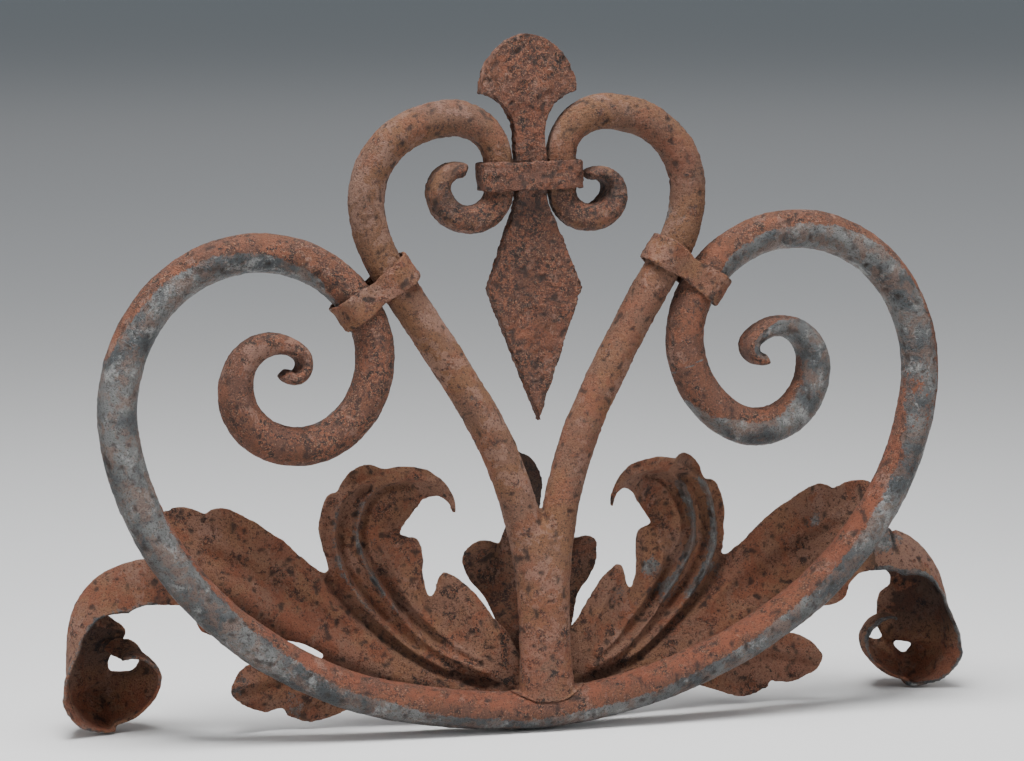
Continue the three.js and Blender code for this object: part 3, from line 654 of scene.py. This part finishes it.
def cut_sheet(name, outline, depth_at, thickness, step):
    """A slab that follows depth_at, cut to the outline."""
    low = outline.min(axis=0) - 3
    high = outline.max(axis=0) + 3
    xs = np.arange(low[0], high[0] + step, step)
    zs = np.arange(low[1], high[1] + step, step)
    x, z = np.meshgrid(xs, zs, indexing="ij")
    front = depth_at(x, z)
    slope_x = (depth_at(x + 1, z) - depth_at(x - 1, z)) / 2
    slope_z = (depth_at(x, z + 1) - depth_at(x, z - 1)) / 2
    back = front + thickness * np.minimum(1.7, np.sqrt(1 + slope_x ** 2 + slope_z ** 2))
    points = np.concatenate([np.stack([x, y, z], axis=2).reshape(-1, 3) for y in (front, back)])
    nx, nz = x.shape
    index = np.arange(nx * nz).reshape(nx, nz)
    faces = []
    for i in range(nx - 1):
        for j in range(nz - 1):
            a, b, c, d = index[i, j], index[i + 1, j], index[i + 1, j + 1], index[i, j + 1]
            faces.append((a, b, c, d))
            faces.append(tuple(v + nx * nz for v in (a, d, c, b)))
    rim = list(index[:, 0]) + list(index[-1, 1:]) + list(index[-2::-1, -1]) + list(index[0, -2:0:-1])
    for a, b in zip(rim, rim[1:] + rim[:1]):
        faces.append((b, a, a + nx * nz, b + nx * nz))
    slab = new_object(name, points, [tuple(int(v) for v in f) for f in faces])
    count = len(outline)
    prism_points = [(p[0], y, p[1]) for y in (-40, 90) for p in outline]
    prism_faces = [tuple(range(count)), tuple(range(2 * count - 1, count - 1, -1))]
    prism_faces += [(k, (k + 1) % count, (k + 1) % count + count, k + count) for k in range(count)]
    prism = new_object(name + "_cutter", prism_points, prism_faces)
    cut = slab.modifiers.new("cut", "BOOLEAN")
    cut.operation = "INTERSECT"
    cut.solver = "MANIFOLD"
    cut.object = prism
    apply_modifiers(slab)
    bpy.data.objects.remove(prism)
    return slab


FOOT_START = (158, 83.8)
FOOT_BENDS = [(200, -8), (41, -82), (150, -11), (22.5, -87), (24.5, -88), (14.5, -95), (7, -55)]
# Degrees turned, depth, then how far the near and far edges go across and inward
FOOT_ROWS = np.array([
    (0, 24, 4, 20, 4, 16),
    (8, 42, 7, 22, 14, 15),
    (45, 47, 16, 20, 20, 20),
    (70, 48, 16, 10, 20, 19),
    (84, 48, 15, 7, 19, 22),
    (92, 48, 15, 4, 20, 30),
    (98, 48, 14, -3, 20, 31),
    (103, 48, 14, -5, 19, 26),
    (110, 48, 14, -5, 19, 21),
    (145, 48.5, 10, -3, 20, 21),
    (165, 48.7, 8, -0.6, 20, 22),
    (189, 49, 6, 0.4, 20, 23),
    (191, 49, 4, 0, 20, 23),
    (225, 49, 5, 0, 20, 23),
    (268, 49, 6, 1, 19, 15),
    (330, 49, 8, 1, 15, 7),
    (400, 50, 8, 0, 10, 2),
    (426, 50, 4, 0, 5, 1)], float)
FOOT_SHIFT = -1.3
# The outer lobe of the foot ends in a torn step; beyond it the sheet sits a little further in
FOOT_STEP = 3.6


def leaf_foot(name, left):
    rows = trace(FOOT_START, 8, FOOT_BENDS, 1.0)
    turned = 8 - np.degrees(rows[:, 2])
    columns = [np.interp(turned, FOOT_ROWS[:, 0], FOOT_ROWS[:, k]) for k in range(1, 6)]
    y, near_front, near_in, far_back, far_in = columns
    y = y + FOOT_SHIFT
    if left:
        for middle, spread, amount in ((84, 8, 8), (97, 4, -6), (125, 22, -9), (262, 28, 10)):
            far_in = far_in + amount * np.exp(-(((turned - middle) / spread) ** 2))
        far_in = far_in - 9 * smooth(290, 370, turned)
    else:
        far_in = far_in - 11 * smooth(99, 110, turned) * (1 - smooth(150, 190, turned))
        far_in = far_in - 5 * smooth(150, 190, turned) * (1 - smooth(268, 300, turned))
    inward = np.stack([np.sin(rows[:, 2]), 0 * rows[:, 2], -np.cos(rows[:, 2])], axis=1)
    step_in = FOOT_STEP * smooth(189, 191, turned) * (1 - smooth(225, 290, turned))
    crest = np.stack([rows[:, 0], y, rows[:, 1]], axis=1) + inward * step_in[:, None]
    depth_way = np.array([0, 1, 0])
    rails = []
    for share in np.linspace(1, 0, 13):
        curl = inward * (near_in * share ** 1.7)[:, None]
        rails.append(crest - depth_way * (near_front * share)[:, None] + curl)
    for share in np.linspace(0, 1, 15)[1:]:
        curl = inward * (far_in * share ** 2)[:, None]
        rails.append(crest + depth_way * (far_back * share)[:, None] + curl)
    grid = np.stack(rails, axis=1)
    count, wide = grid.shape[:2]
    ahead = np.gradient(grid, axis=0)
    sideways = np.gradient(grid, axis=1)
    facing = np.cross(ahead, sideways)
    facing /= np.linalg.norm(facing, axis=2)[:, :, None]
    middle = facing[:, wide // 2]
    flip = np.sign((middle * inward).sum(axis=1))[:, None, None]
    inner = grid + facing * flip * FOOT_SHEET
    points = np.concatenate([grid.reshape(-1, 3), inner.reshape(-1, 3)])
    faces = []
    total = count * wide
    for i in range(count - 1):
        for j in range(wide - 1):
            a = i * wide + j
            faces.append((a, a + wide, a + wide + 1, a + 1))
            faces.append((a + total, a + total + 1, a + total + wide + 1, a + total + wide))
    rim = [i * wide for i in range(count)] + [(count - 1) * wide + j for j in range(1, wide)]
    rim += [i * wide + wide - 1 for i in range(count - 2, -1, -1)] + list(range(wide - 2, 0, -1))
    for a, b in zip(rim, rim[1:] + rim[:1]):
        faces.append((b, a, a + total, b + total))
    return new_object(name, points, faces)


def foot_places(points):
    """Each point's distance from the near edge of the foot, and the middle of the roll."""
    rows = trace(FOOT_START, 8, FOOT_BENDS, 1.0)
    turned = 8 - np.degrees(rows[:, 2])
    y, near_front, near_in = (np.interp(turned, FOOT_ROWS[:, 0], FOOT_ROWS[:, k]) for k in (1, 2, 3))
    edge = np.stack([rows[:, 0] + np.sin(rows[:, 2]) * near_in, y + FOOT_SHIFT - near_front,
                     rows[:, 1] - np.cos(rows[:, 2]) * near_in], axis=1)
    rim = KDTree(len(edge))
    for k, place in enumerate(edge):
        rim.insert(place, k)
    rim.balance()
    gaps = np.array([rim.find(p)[2] for p in points])
    return gaps, np.array([rows[:, 0].max() - 24, 0, 24.5])


def sway(obj):
    points = positions(obj)
    points[:, 0] -= SWAY * points[:, 2]
    set_positions(obj, points)


def ragged(outline, seed, amount):
    """Rust has nibbled the edge of the sheet."""
    wobble = hills([(p[0], seed, p[1]) for p in outline], 3.5, seed)
    wobble2 = hills([(p[0], seed, p[1]) for p in outline], 9.0, seed + 1)
    ahead = np.roll(outline, -1, axis=0) - np.roll(outline, 1, axis=0)
    ahead /= np.maximum(1e-6, np.linalg.norm(ahead, axis=1))[:, None]
    inward = np.stack([-ahead[:, 1], ahead[:, 0]], axis=1)
    return outline + inward * (amount * (wobble + 0.7 * wobble2 + 0.2))[:, None]


def side_leaf(name, left, seed):
    outline = ragged(outline_of(LEAF_EDGE, 1.6), seed, 0.45)
    flat = cut_sheet(name, outline, lambda x, z: leaf_depth(x, z) - leaf_relief(x, z), SHEET, 1.0)
    leaf = merge([flat, leaf_foot(name + "_foot", left)], name)
    fuse(leaf, 0.88, 2, 0.4)
    if left:
        points = positions(leaf)
        points[:, 0] *= -1
        set_positions(leaf, points)
        leaf.data.flip_normals()
    else:
        crack(leaf)
    corrode(leaf, seed, dents=0.25, crust=0.2, grain=0.2, dent_size=14.0)
    paint_leaf(leaf, left)
    sway(leaf)
    return leaf


# Cracks across the strap of the right leaf, seen from above: across and depth
CRACKS = [
    [(197, 72), (199, 62), (195, 54), (200, 47), (196, 41), (199, 30)],
    [(198, 50), (203, 52), (207, 48), (210, 52)],
]


def crack(leaf):
    points = positions(leaf)
    facing = normals(leaf)
    strap = smooth(0.2, 0.5, facing[:, 2]) * smooth(170, 176, points[:, 0]) * smooth(70, 74, points[:, 2])
    cut = np.zeros(len(points))
    for line in CRACKS:
        gap = ridge_gap(points[:, 0], points[:, 1], line)
        cut = np.maximum(cut, 1.5 * np.exp(-((gap / 0.9) ** 2)))
        lip = np.exp(-(((gap - 2.2) / 1.2) ** 2)) * (points[:, 0] < np.array(line)[:, 0].mean())
        cut = cut - 0.5 * lip
    set_positions(leaf, points - facing * (cut * strap)[:, None])
    mark(leaf, "crack", strap * smooth(0.3, 1.0, cut))


def rear_depth(x, z):
    side = np.abs(x)
    tongue = lerp(16, 42, smooth(30, 128, z))
    lobe = 25.5 - 11 * smooth(80, 93, z)
    behind = leaf_depth(side, np.minimum(z, 75)) + 1.35 * 2.6 + GAP
    free = lerp(tongue, lobe, smooth(10, 24, side))
    return lerp(behind, np.maximum(free, np.where(z < 76, behind, 0)), smooth(40, 70, z))


def rear_leaf():
    right = outline_of(REAR_EDGE, 1.6)
    left = right[1:][::-1] * np.array([-1, 1])
    outline = np.vstack([right, [(0, 131)], left])
    leaf = cut_sheet("leaf_rear_iron", outline, rear_depth, SHEET, 1.3)
    fuse(leaf, 0.8, 2, 0.4)
    corrode(leaf, 61, dents=0.25, crust=0.2, grain=0.2, dent_size=14.0)
    points = positions(leaf)
    mark(leaf, "zinc", np.zeros(len(points)))
    mark(leaf, "warm", 0.6 * zone(points, [(-18, 40, 12, 1.0)]))
    # Painted shade: the whole rear leaf, standing behind the others, is darkened, and the top of its
    # tongue, the shaded underside of its curl, darker still.
    mark(leaf, "grime_and_painted_shade", 0.3 + 0.6 * smooth(88, 100, points[:, 2]))
    mark(leaf, "scaly", np.full(len(points), 0.6))
    mark(leaf, "pale", np.zeros(len(points)))
    sway(leaf)
    return leaf


# Materials

class Nodes:
    """A small helper that makes and links shader nodes."""

    def __init__(self, name):
        self.material = bpy.data.materials.new(name)
        self.material.use_nodes = True
        self.tree = self.material.node_tree
        self.shader = self.tree.nodes["Principled BSDF"]
        self.place = self.add("ShaderNodeTexCoord").outputs["Object"]

    def add(self, kind, **values):
        node = self.tree.nodes.new(kind)
        for key, value in values.items():
            setattr(node, key, value)
        return node

    def link(self, out, into):
        self.tree.links.new(out, into)

    def noise(self, scale, detail=4, rough=0.6, distortion=0.0):
        node = self.add("ShaderNodeTexNoise")
        node.inputs["Scale"].default_value = scale
        node.inputs["Detail"].default_value = detail
        node.inputs["Roughness"].default_value = rough
        node.inputs["Distortion"].default_value = distortion
        self.link(self.place, node.inputs["Vector"])
        return node.outputs["Fac"]

    def ramp(self, value, low, high):
        node = self.add("ShaderNodeMapRange", interpolation_type="SMOOTHSTEP")
        node.inputs["From Min"].default_value = low
        node.inputs["From Max"].default_value = high
        self.link(value, node.inputs["Value"])
        return node.outputs["Result"]

    def maths(self, operation, a, b):
        node = self.add("ShaderNodeMath", operation=operation)
        for value, socket in ((a, node.inputs[0]), (b, node.inputs[1])):
            if isinstance(value, (int, float)):
                socket.default_value = value
            else:
                self.link(value, socket)
        return node.outputs[0]

    def mix(self, factor, a, b):
        node = self.add("ShaderNodeMix", data_type="RGBA")
        if isinstance(factor, (int, float)):
            node.inputs[0].default_value = factor
        else:
            self.link(factor, node.inputs[0])
        for value, socket in ((a, node.inputs[6]), (b, node.inputs[7])):
            if isinstance(value, tuple):
                socket.default_value = (*value, 1)
            else:
                self.link(value, socket)
        return node.outputs[2]

    def attribute(self, name):
        node = self.add("ShaderNodeAttribute", attribute_name=name)
        return node.outputs["Fac"]


# Colours of the rust, its crust and the paint, and a painted highlight on the zinc
PINK = (0.270, 0.148, 0.108)
BROWN = (0.098, 0.040, 0.025)
UMBER = (0.026, 0.014, 0.010)
RUST = (0.220, 0.074, 0.036)
ORANGE = (0.230, 0.064, 0.029)
SAND = (0.400, 0.230, 0.140)
BLACK = (0.012, 0.009, 0.008)
ZINC_DARK = (0.052, 0.060, 0.064)
ZINC_LIGHT = (0.150, 0.153, 0.150)
# Whitish zinc bloom that also serves as a painted highlight on the zinc
ZINC_BLOOM_AND_HIGHLIGHT = (0.400, 0.400, 0.385)
DUST = (0.165, 0.095, 0.068)


def rusty_iron(name, buff, ochre, redder):
    """A brown skin of rust, scaly crust broken through it, and the rest of a coat of grey zinc paint, with
    painted highlights on the zinc and painted shade from a mask.
    """
    n = Nodes(name)
    broad = n.noise(36, 3, 0.6, 0.4)
    patch = n.noise(120, 5, 0.72, 0.3)
    crumb = n.noise(480, 4, 0.72)
    grit = n.noise(1300, 3, 0.7)
    skin = n.mix(n.ramp(broad, 0.42, 0.58), buff, ochre)
    skin = n.mix(n.maths("MULTIPLY", n.ramp(n.noise(75, 4, 0.6), 0.50, 0.62), redder), skin, RUST)
    pink = n.maths("ADD", n.noise(48, 5, 0.7, 0.2), n.maths("MULTIPLY", n.attribute("pale"), 0.14))
    skin = n.mix(n.maths("MULTIPLY", n.ramp(pink, 0.58, 0.62), 0.6), skin, PINK)
    skin = n.mix(n.ramp(crumb, 0.575, 0.615), skin, BROWN)
    skin = n.mix(n.maths("MULTIPLY", n.ramp(grit, 0.42, 0.34), 0.35), skin, SAND)
    crust = n.mix(n.ramp(n.noise(230, 4, 0.7), 0.46, 0.54), BROWN, UMBER)
    crust = n.mix(n.maths("MULTIPLY", n.ramp(crumb, 0.50, 0.46), 0.9), crust, RUST)
    crust = n.mix(n.maths("MULTIPLY", n.ramp(broad, 0.50, 0.58), 0.5), crust, BROWN)
    crust = n.mix(n.maths("MULTIPLY", n.ramp(grit, 0.43, 0.38), 0.6), crust, SAND)
    crust = n.mix(n.maths("MULTIPLY", n.ramp(n.noise(160, 5, 0.75), 0.44, 0.38), 0.5), crust, PINK)
    broken = patch
    for layer, weight in (("scaly", 0.22), ("crust", 0.05)):
        extra = n.maths("MULTIPLY", n.maths("SUBTRACT", n.attribute(layer), 0.5), weight)
        broken = n.maths("ADD", broken, extra)
    scale = n.ramp(broken, 0.515, 0.545)
    base = n.mix(scale, skin, crust)
    fire = n.maths("MULTIPLY", n.attribute("warm"), n.ramp(n.noise(90, 5, 0.72, 0.3), 0.43, 0.55))
    base = n.mix(n.maths("MULTIPLY", fire, 0.8), base, ORANGE)
    rim = n.attribute("zinc")
    for lumps, weight in ((n.noise(70, 6, 0.75, 0.3), 1.3), (crumb, 0.9)):
        rim = n.maths("ADD", rim, n.maths("MULTIPLY", n.maths("SUBTRACT", lumps, 0.5), weight))
    painted = n.ramp(rim, 0.42, 0.60)
    zinc = n.mix(n.ramp(broad, 0.40, 0.60), ZINC_DARK, ZINC_LIGHT)
    zinc = n.mix(n.maths("MULTIPLY", n.ramp(crumb, 0.56, 0.60), 0.6), zinc, UMBER)
    # Whitish patches on the zinc: partly zinc bloom, partly painted highlight.
    zinc = n.mix(n.maths("MULTIPLY", n.ramp(n.noise(85, 6, 0.8, 0.3), 0.52, 0.64), 0.55), zinc, ZINC_BLOOM_AND_HIGHLIGHT)
    zinc = n.mix(n.maths("MULTIPLY", n.ramp(patch, 0.46, 0.60), 0.65), zinc, DUST)
    base = n.mix(painted, base, zinc)
    base = n.mix(n.maths("MULTIPLY", n.ramp(grit, 0.56, 0.63), 0.75), base, BLACK)
    base = n.mix(n.maths("MULTIPLY", n.attribute("pitted"), 0.8), base, UMBER)
    # Painted shade, with some grime, from the mask darkens the colour towards black.
    base = n.mix(n.maths("MULTIPLY", n.attribute("grime_and_painted_shade"), 0.85), base, BLACK)
    n.link(base, n.shader.inputs["Base Color"])
    n.link(n.maths("SUBTRACT", 0.82, n.maths("MULTIPLY", painted, 0.36)), n.shader.inputs["Roughness"])
    n.link(n.maths("MULTIPLY", painted, 0.25), n.shader.inputs["Metallic"])
    n.shader.inputs["Specular IOR Level"].default_value = 0.5
    height = n.maths("ADD", n.maths("MULTIPLY", crumb, -0.9), n.maths("MULTIPLY", grit, -0.6))
    height = n.maths("ADD", height, n.maths("MULTIPLY", scale, 0.22))
    bump = n.add("ShaderNodeBump")
    bump.inputs["Strength"].default_value = 1.0
    bump.inputs["Distance"].default_value = 0.002
    n.link(height, bump.inputs["Height"])
    n.link(bump.outputs["Normal"], n.shader.inputs["Normal"])
    return n.material


def zone(points, spots):
    """A soft mask: the strongest of several round spots, each (x, z, radius, strength)."""
    strength = np.zeros(len(points))
    for x, z, radius, amount in spots:
        near = np.exp(-(((points[:, 0] - x) ** 2 + (points[:, 2] - z) ** 2) / radius ** 2))
        strength = np.maximum(strength, near * amount)
    return strength


def paint_leaf(leaf, left):
    """Zinc, orange rust, dark cracks and painted shade on a side leaf; the two leaves differ."""
    points = positions(leaf)
    facing = normals(leaf)
    mirror = np.array([-1 if left else 1, 1, 1])
    side = points * mirror
    facing_side = facing * mirror
    x, y, z = side.T
    creases = np.zeros(len(points))
    for line, _, width in CREASES[:2]:
        creases = np.maximum(creases, np.exp(-((ridge_gap(x, z, line) / (width * 1.5)) ** 2)))
    creases *= smooth(40, 65, z) * (1 - smooth(112, 122, z))
    from_edge, centre = foot_places(side)
    foot = smooth(176, 186, x)
    inside = foot * smooth(0.1, -0.3, ((side - centre) * facing_side)[:, [0, 2]].sum(axis=1))
    edge = foot * np.exp(-((from_edge / 3.4) ** 2))
    if left:
        spots = [(150, 24, 14, 0.5), (120, 12, 12, 0.45), (80, 95, 18, 0.3)]
        zinc = np.maximum(0.55 * creases, zone(side, spots))
        zinc = np.maximum(zinc, 0.55 * edge)
        warm = zone(side, [(120, 62, 40, 0.8), (205, 76, 24, 0.7)])
        warm = np.maximum(warm, inside * 0.9 * (1 - smooth(10, 30, z)))
        pale = 0.3 * foot
    else:
        spots = [(62, 72, 9, 0.62), (70, 58, 9, 0.6), (40, 62, 10, 0.5), (96, 70, 8, 0.5)]
        zinc = np.maximum(0.75 * creases, zone(side, spots))
        zinc = np.maximum(zinc, 0.95 * edge)
        zinc = np.maximum(zinc, zone(side, [(187, 82, 13, 0.95)]) * (y < 44))
        zinc = np.maximum(zinc, zone(side, [(149, 93, 8, 0.5), (85, 88, 22, 0.4)]))
        warm = zone(side, [(105, 50, 34, 0.5), (135, 22, 18, 0.4)])
        warm = np.maximum(warm, inside * 0.8 * (1 - smooth(10, 30, z)))
        pale = 1.2 * foot * (1 - inside) * smooth(50, 66, z)
    # Painted shade on faces of the leaf that turn away towards the back, apart from the foot.
    shaded_back_faces = smooth(0.2, 0.8, facing[:, 1]) * (1 - foot)
    # Painted shade inside the hollow of the crest, along the deep fold and in the deep grooves.
    shaded_hood = zone(side, [(62, 112, 9, 0.25), (52, 114, 8, 0.2)])
    shaded_fold = ridge_gap(x, z, CREASES[PAINTED_SHADE_FOLD][0])
    grime_and_painted_shade = np.maximum(shaded_hood, 0.42 * np.exp(-((shaded_fold / 3.0) ** 2)))
    for line, height, width in CREASES:
        if height < -2:
            shaded_groove = np.exp(-((ridge_gap(x, z, line) / (width * 0.9)) ** 2))
            grime_and_painted_shade = np.maximum(grime_and_painted_shade, 0.2 * shaded_groove * smooth(30, 45, x))
    # Painted shade on the inside of the rolled foot.
    grime_and_painted_shade = np.maximum(grime_and_painted_shade, 0.8 * inside * smooth(16, 42, z))
    if not left:
        crack_mark = np.zeros(len(points), np.float32)
        leaf.data.attributes["crack"].data.foreach_get("value", crack_mark)
        grime_and_painted_shade = np.maximum(grime_and_painted_shade, crack_mark)
    mark(leaf, "zinc", zinc)
    mark(leaf, "warm", warm)
    mark(leaf, "pale", pale)
    mark(leaf, "scaly", (0.35 if left else 0.25) - 0.3 * pale)
    mark(leaf, "grime_and_painted_shade", np.maximum(grime_and_painted_shade, shaded_back_faces * 0.4))


# Build

heart_iron = rusty_iron("rusted_light", (0.168, 0.080, 0.048), (0.195, 0.086, 0.038), 0.6)
bars_iron = rusty_iron("rusted_dark", (0.122, 0.050, 0.031), (0.150, 0.054, 0.026), 0.9)
leaf_iron = rusty_iron("rusted_sheet", (0.215, 0.104, 0.065), (0.235, 0.108, 0.055), 0.9)

outer = outer_bar()
heart = heart_bar()
lily = lily_plate()
collar_top = top_collar()
collar_left = side_collar("collar_left_iron", (-80, 216), True, 33)
collar_right = side_collar("collar_right_iron", (77, 221), False, 35)
leaf_right = side_leaf("leaf_right_iron", False, 51)
leaf_left = side_leaf("leaf_left_iron", True, 55)
leaf_back = rear_leaf()

PIECES = [
    (outer, "outer_bar", "iron_bars", bars_iron),
    (heart, "heart_bar", "iron_bars", heart_iron),
    (lily, "lily_plate", "iron_bars", bars_iron),
    (collar_top, "collar_top", "iron_bars", bars_iron),
    (collar_left, "collar_left", "iron_bars", heart_iron),
    (collar_right, "collar_right", "iron_bars", heart_iron),
    (leaf_right, "leaf_right", "iron_leaves", leaf_iron),
    (leaf_left, "leaf_left", "iron_leaves", leaf_iron),
    (leaf_back, "leaf_rear", "iron_leaves", leaf_iron),
]
for piece, node, slot, material in PIECES:
    # Nothing stands outside the box of the CAD solids
    set_positions(piece, np.clip(positions(piece), *np.array(cad_box) / MM))
    piece.data.materials.clear()
    piece.data.materials.append(material)
    shade_smooth(piece)
    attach(piece, "root")
    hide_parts(node)


# Camera, as the photograph was taken

YAW = math.radians(15.4)
PITCH = math.radians(7.0)
ROLL = math.radians(0.1)
CAMERA_PLACE = (-0.45024, -1.56742, 0.37121)
ahead = Vector((math.sin(YAW) * math.cos(PITCH), math.cos(YAW) * math.cos(PITCH), -math.sin(PITCH)))
level = Vector((math.cos(YAW), -math.sin(YAW), 0))
upright = level.cross(ahead)
right_way = math.cos(ROLL) * level + math.sin(ROLL) * upright
up_way = -math.sin(ROLL) * level + math.cos(ROLL) * upright
camera_data = bpy.data.cameras.new("camera")
camera_data.lens = 120
camera_data.sensor_width = 36
camera_data.sensor_fit = "HORIZONTAL"
camera_data.clip_start = 0.05
camera = bpy.data.objects.new("camera", camera_data)
camera.matrix_world = Matrix((
    (right_way.x, up_way.x, -ahead.x, CAMERA_PLACE[0]),
    (right_way.y, up_way.y, -ahead.y, CAMERA_PLACE[1]),
    (right_way.z, up_way.z, -ahead.z, CAMERA_PLACE[2]),
    (0, 0, 0, 1)))
bpy.context.scene.collection.objects.link(camera)
bpy.context.scene.camera = camera


# Floor and lights

# Tones of the floor and the distance in metres over which they change; the darker tone just behind the
# work is painted shade
FLOOR_FADE = 5.0
FLOOR_NEAR = (0.735, 0.735, 0.735)
FLOOR_SHADED_BEHIND = (0.64, 0.645, 0.65)
FLOOR_MIDDLE = (0.75, 0.77, 0.79)
FLOOR_FAR = (0.66, 0.735, 0.785)

def floor():
    """A pale floor that goes on far behind the work and darkens with the distance."""
    half_width = 60.0
    corners = ((-1, -1), (1, -1), (1, 1), (-1, 1))
    points = [(x * half_width / MM, y * half_width / MM, 0) for x, y in corners]
    ground = new_object("floor", points, [(0, 1, 2, 3)])
    n = Nodes("paper")
    split = n.add("ShaderNodeSeparateXYZ")
    n.link(n.place, split.inputs[0])
    length = n.add("ShaderNodeVectorMath", operation="LENGTH")
    n.link(n.place, length.inputs[0])
    away = length.outputs["Value"]
    far = n.maths("DIVIDE", away, n.maths("ADD", away, FLOOR_FADE))
    # Painted shade on the floor just behind the work
    behind = n.ramp(split.outputs[1], 0.0, 0.5)
    shade = n.mix(behind, FLOOR_NEAR, FLOOR_SHADED_BEHIND)
    shade = n.mix(n.ramp(far, 0.20, 0.40), shade, FLOOR_MIDDLE)
    shade = n.mix(n.ramp(far, 0.50, 0.88), shade, FLOOR_FAR)
    n.link(shade, n.shader.inputs["Base Color"])
    n.shader.inputs["Roughness"].default_value = 0.9
    n.shader.inputs["Specular IOR Level"].default_value = 0.1
    ground.data.materials.append(n.material)


def area_light(name, place, target, size, power):
    data = bpy.data.lights.new(name, "AREA")
    data.shape = "RECTANGLE"
    data.size = size[0]
    data.size_y = size[1]
    data.energy = power
    lamp = bpy.data.objects.new(name, data)
    lamp.location = place
    lamp.rotation_euler = (Vector(target) - Vector(place)).to_track_quat("-Z", "Y").to_euler()
    bpy.context.scene.collection.objects.link(lamp)


floor()
area_light("top_softbox", (-0.2, -0.25, 1.5), (0, 0.05, 0.1), (0.75, 0.6), 44)
area_light("left_fill", (-1.9, -1.0, 0.8), (0, 0, 0.15), (0.8, 1.0), 12)
area_light("right_fill", (1.6, -1.2, 0.9), (0, 0, 0.15), (0.8, 0.9), 11)
area_light("far_floor_light", (1.2, 3.5, 6.0), (1.2, 3.5, 0), (4.0, 4.0), 52)
world = bpy.data.worlds.new("room")
world.use_nodes = True
world.node_tree.nodes["Background"].inputs["Color"].default_value = (0.95, 0.97, 1.0, 1)
world.node_tree.nodes["Background"].inputs["Strength"].default_value = 0.2
bpy.context.scene.world = world
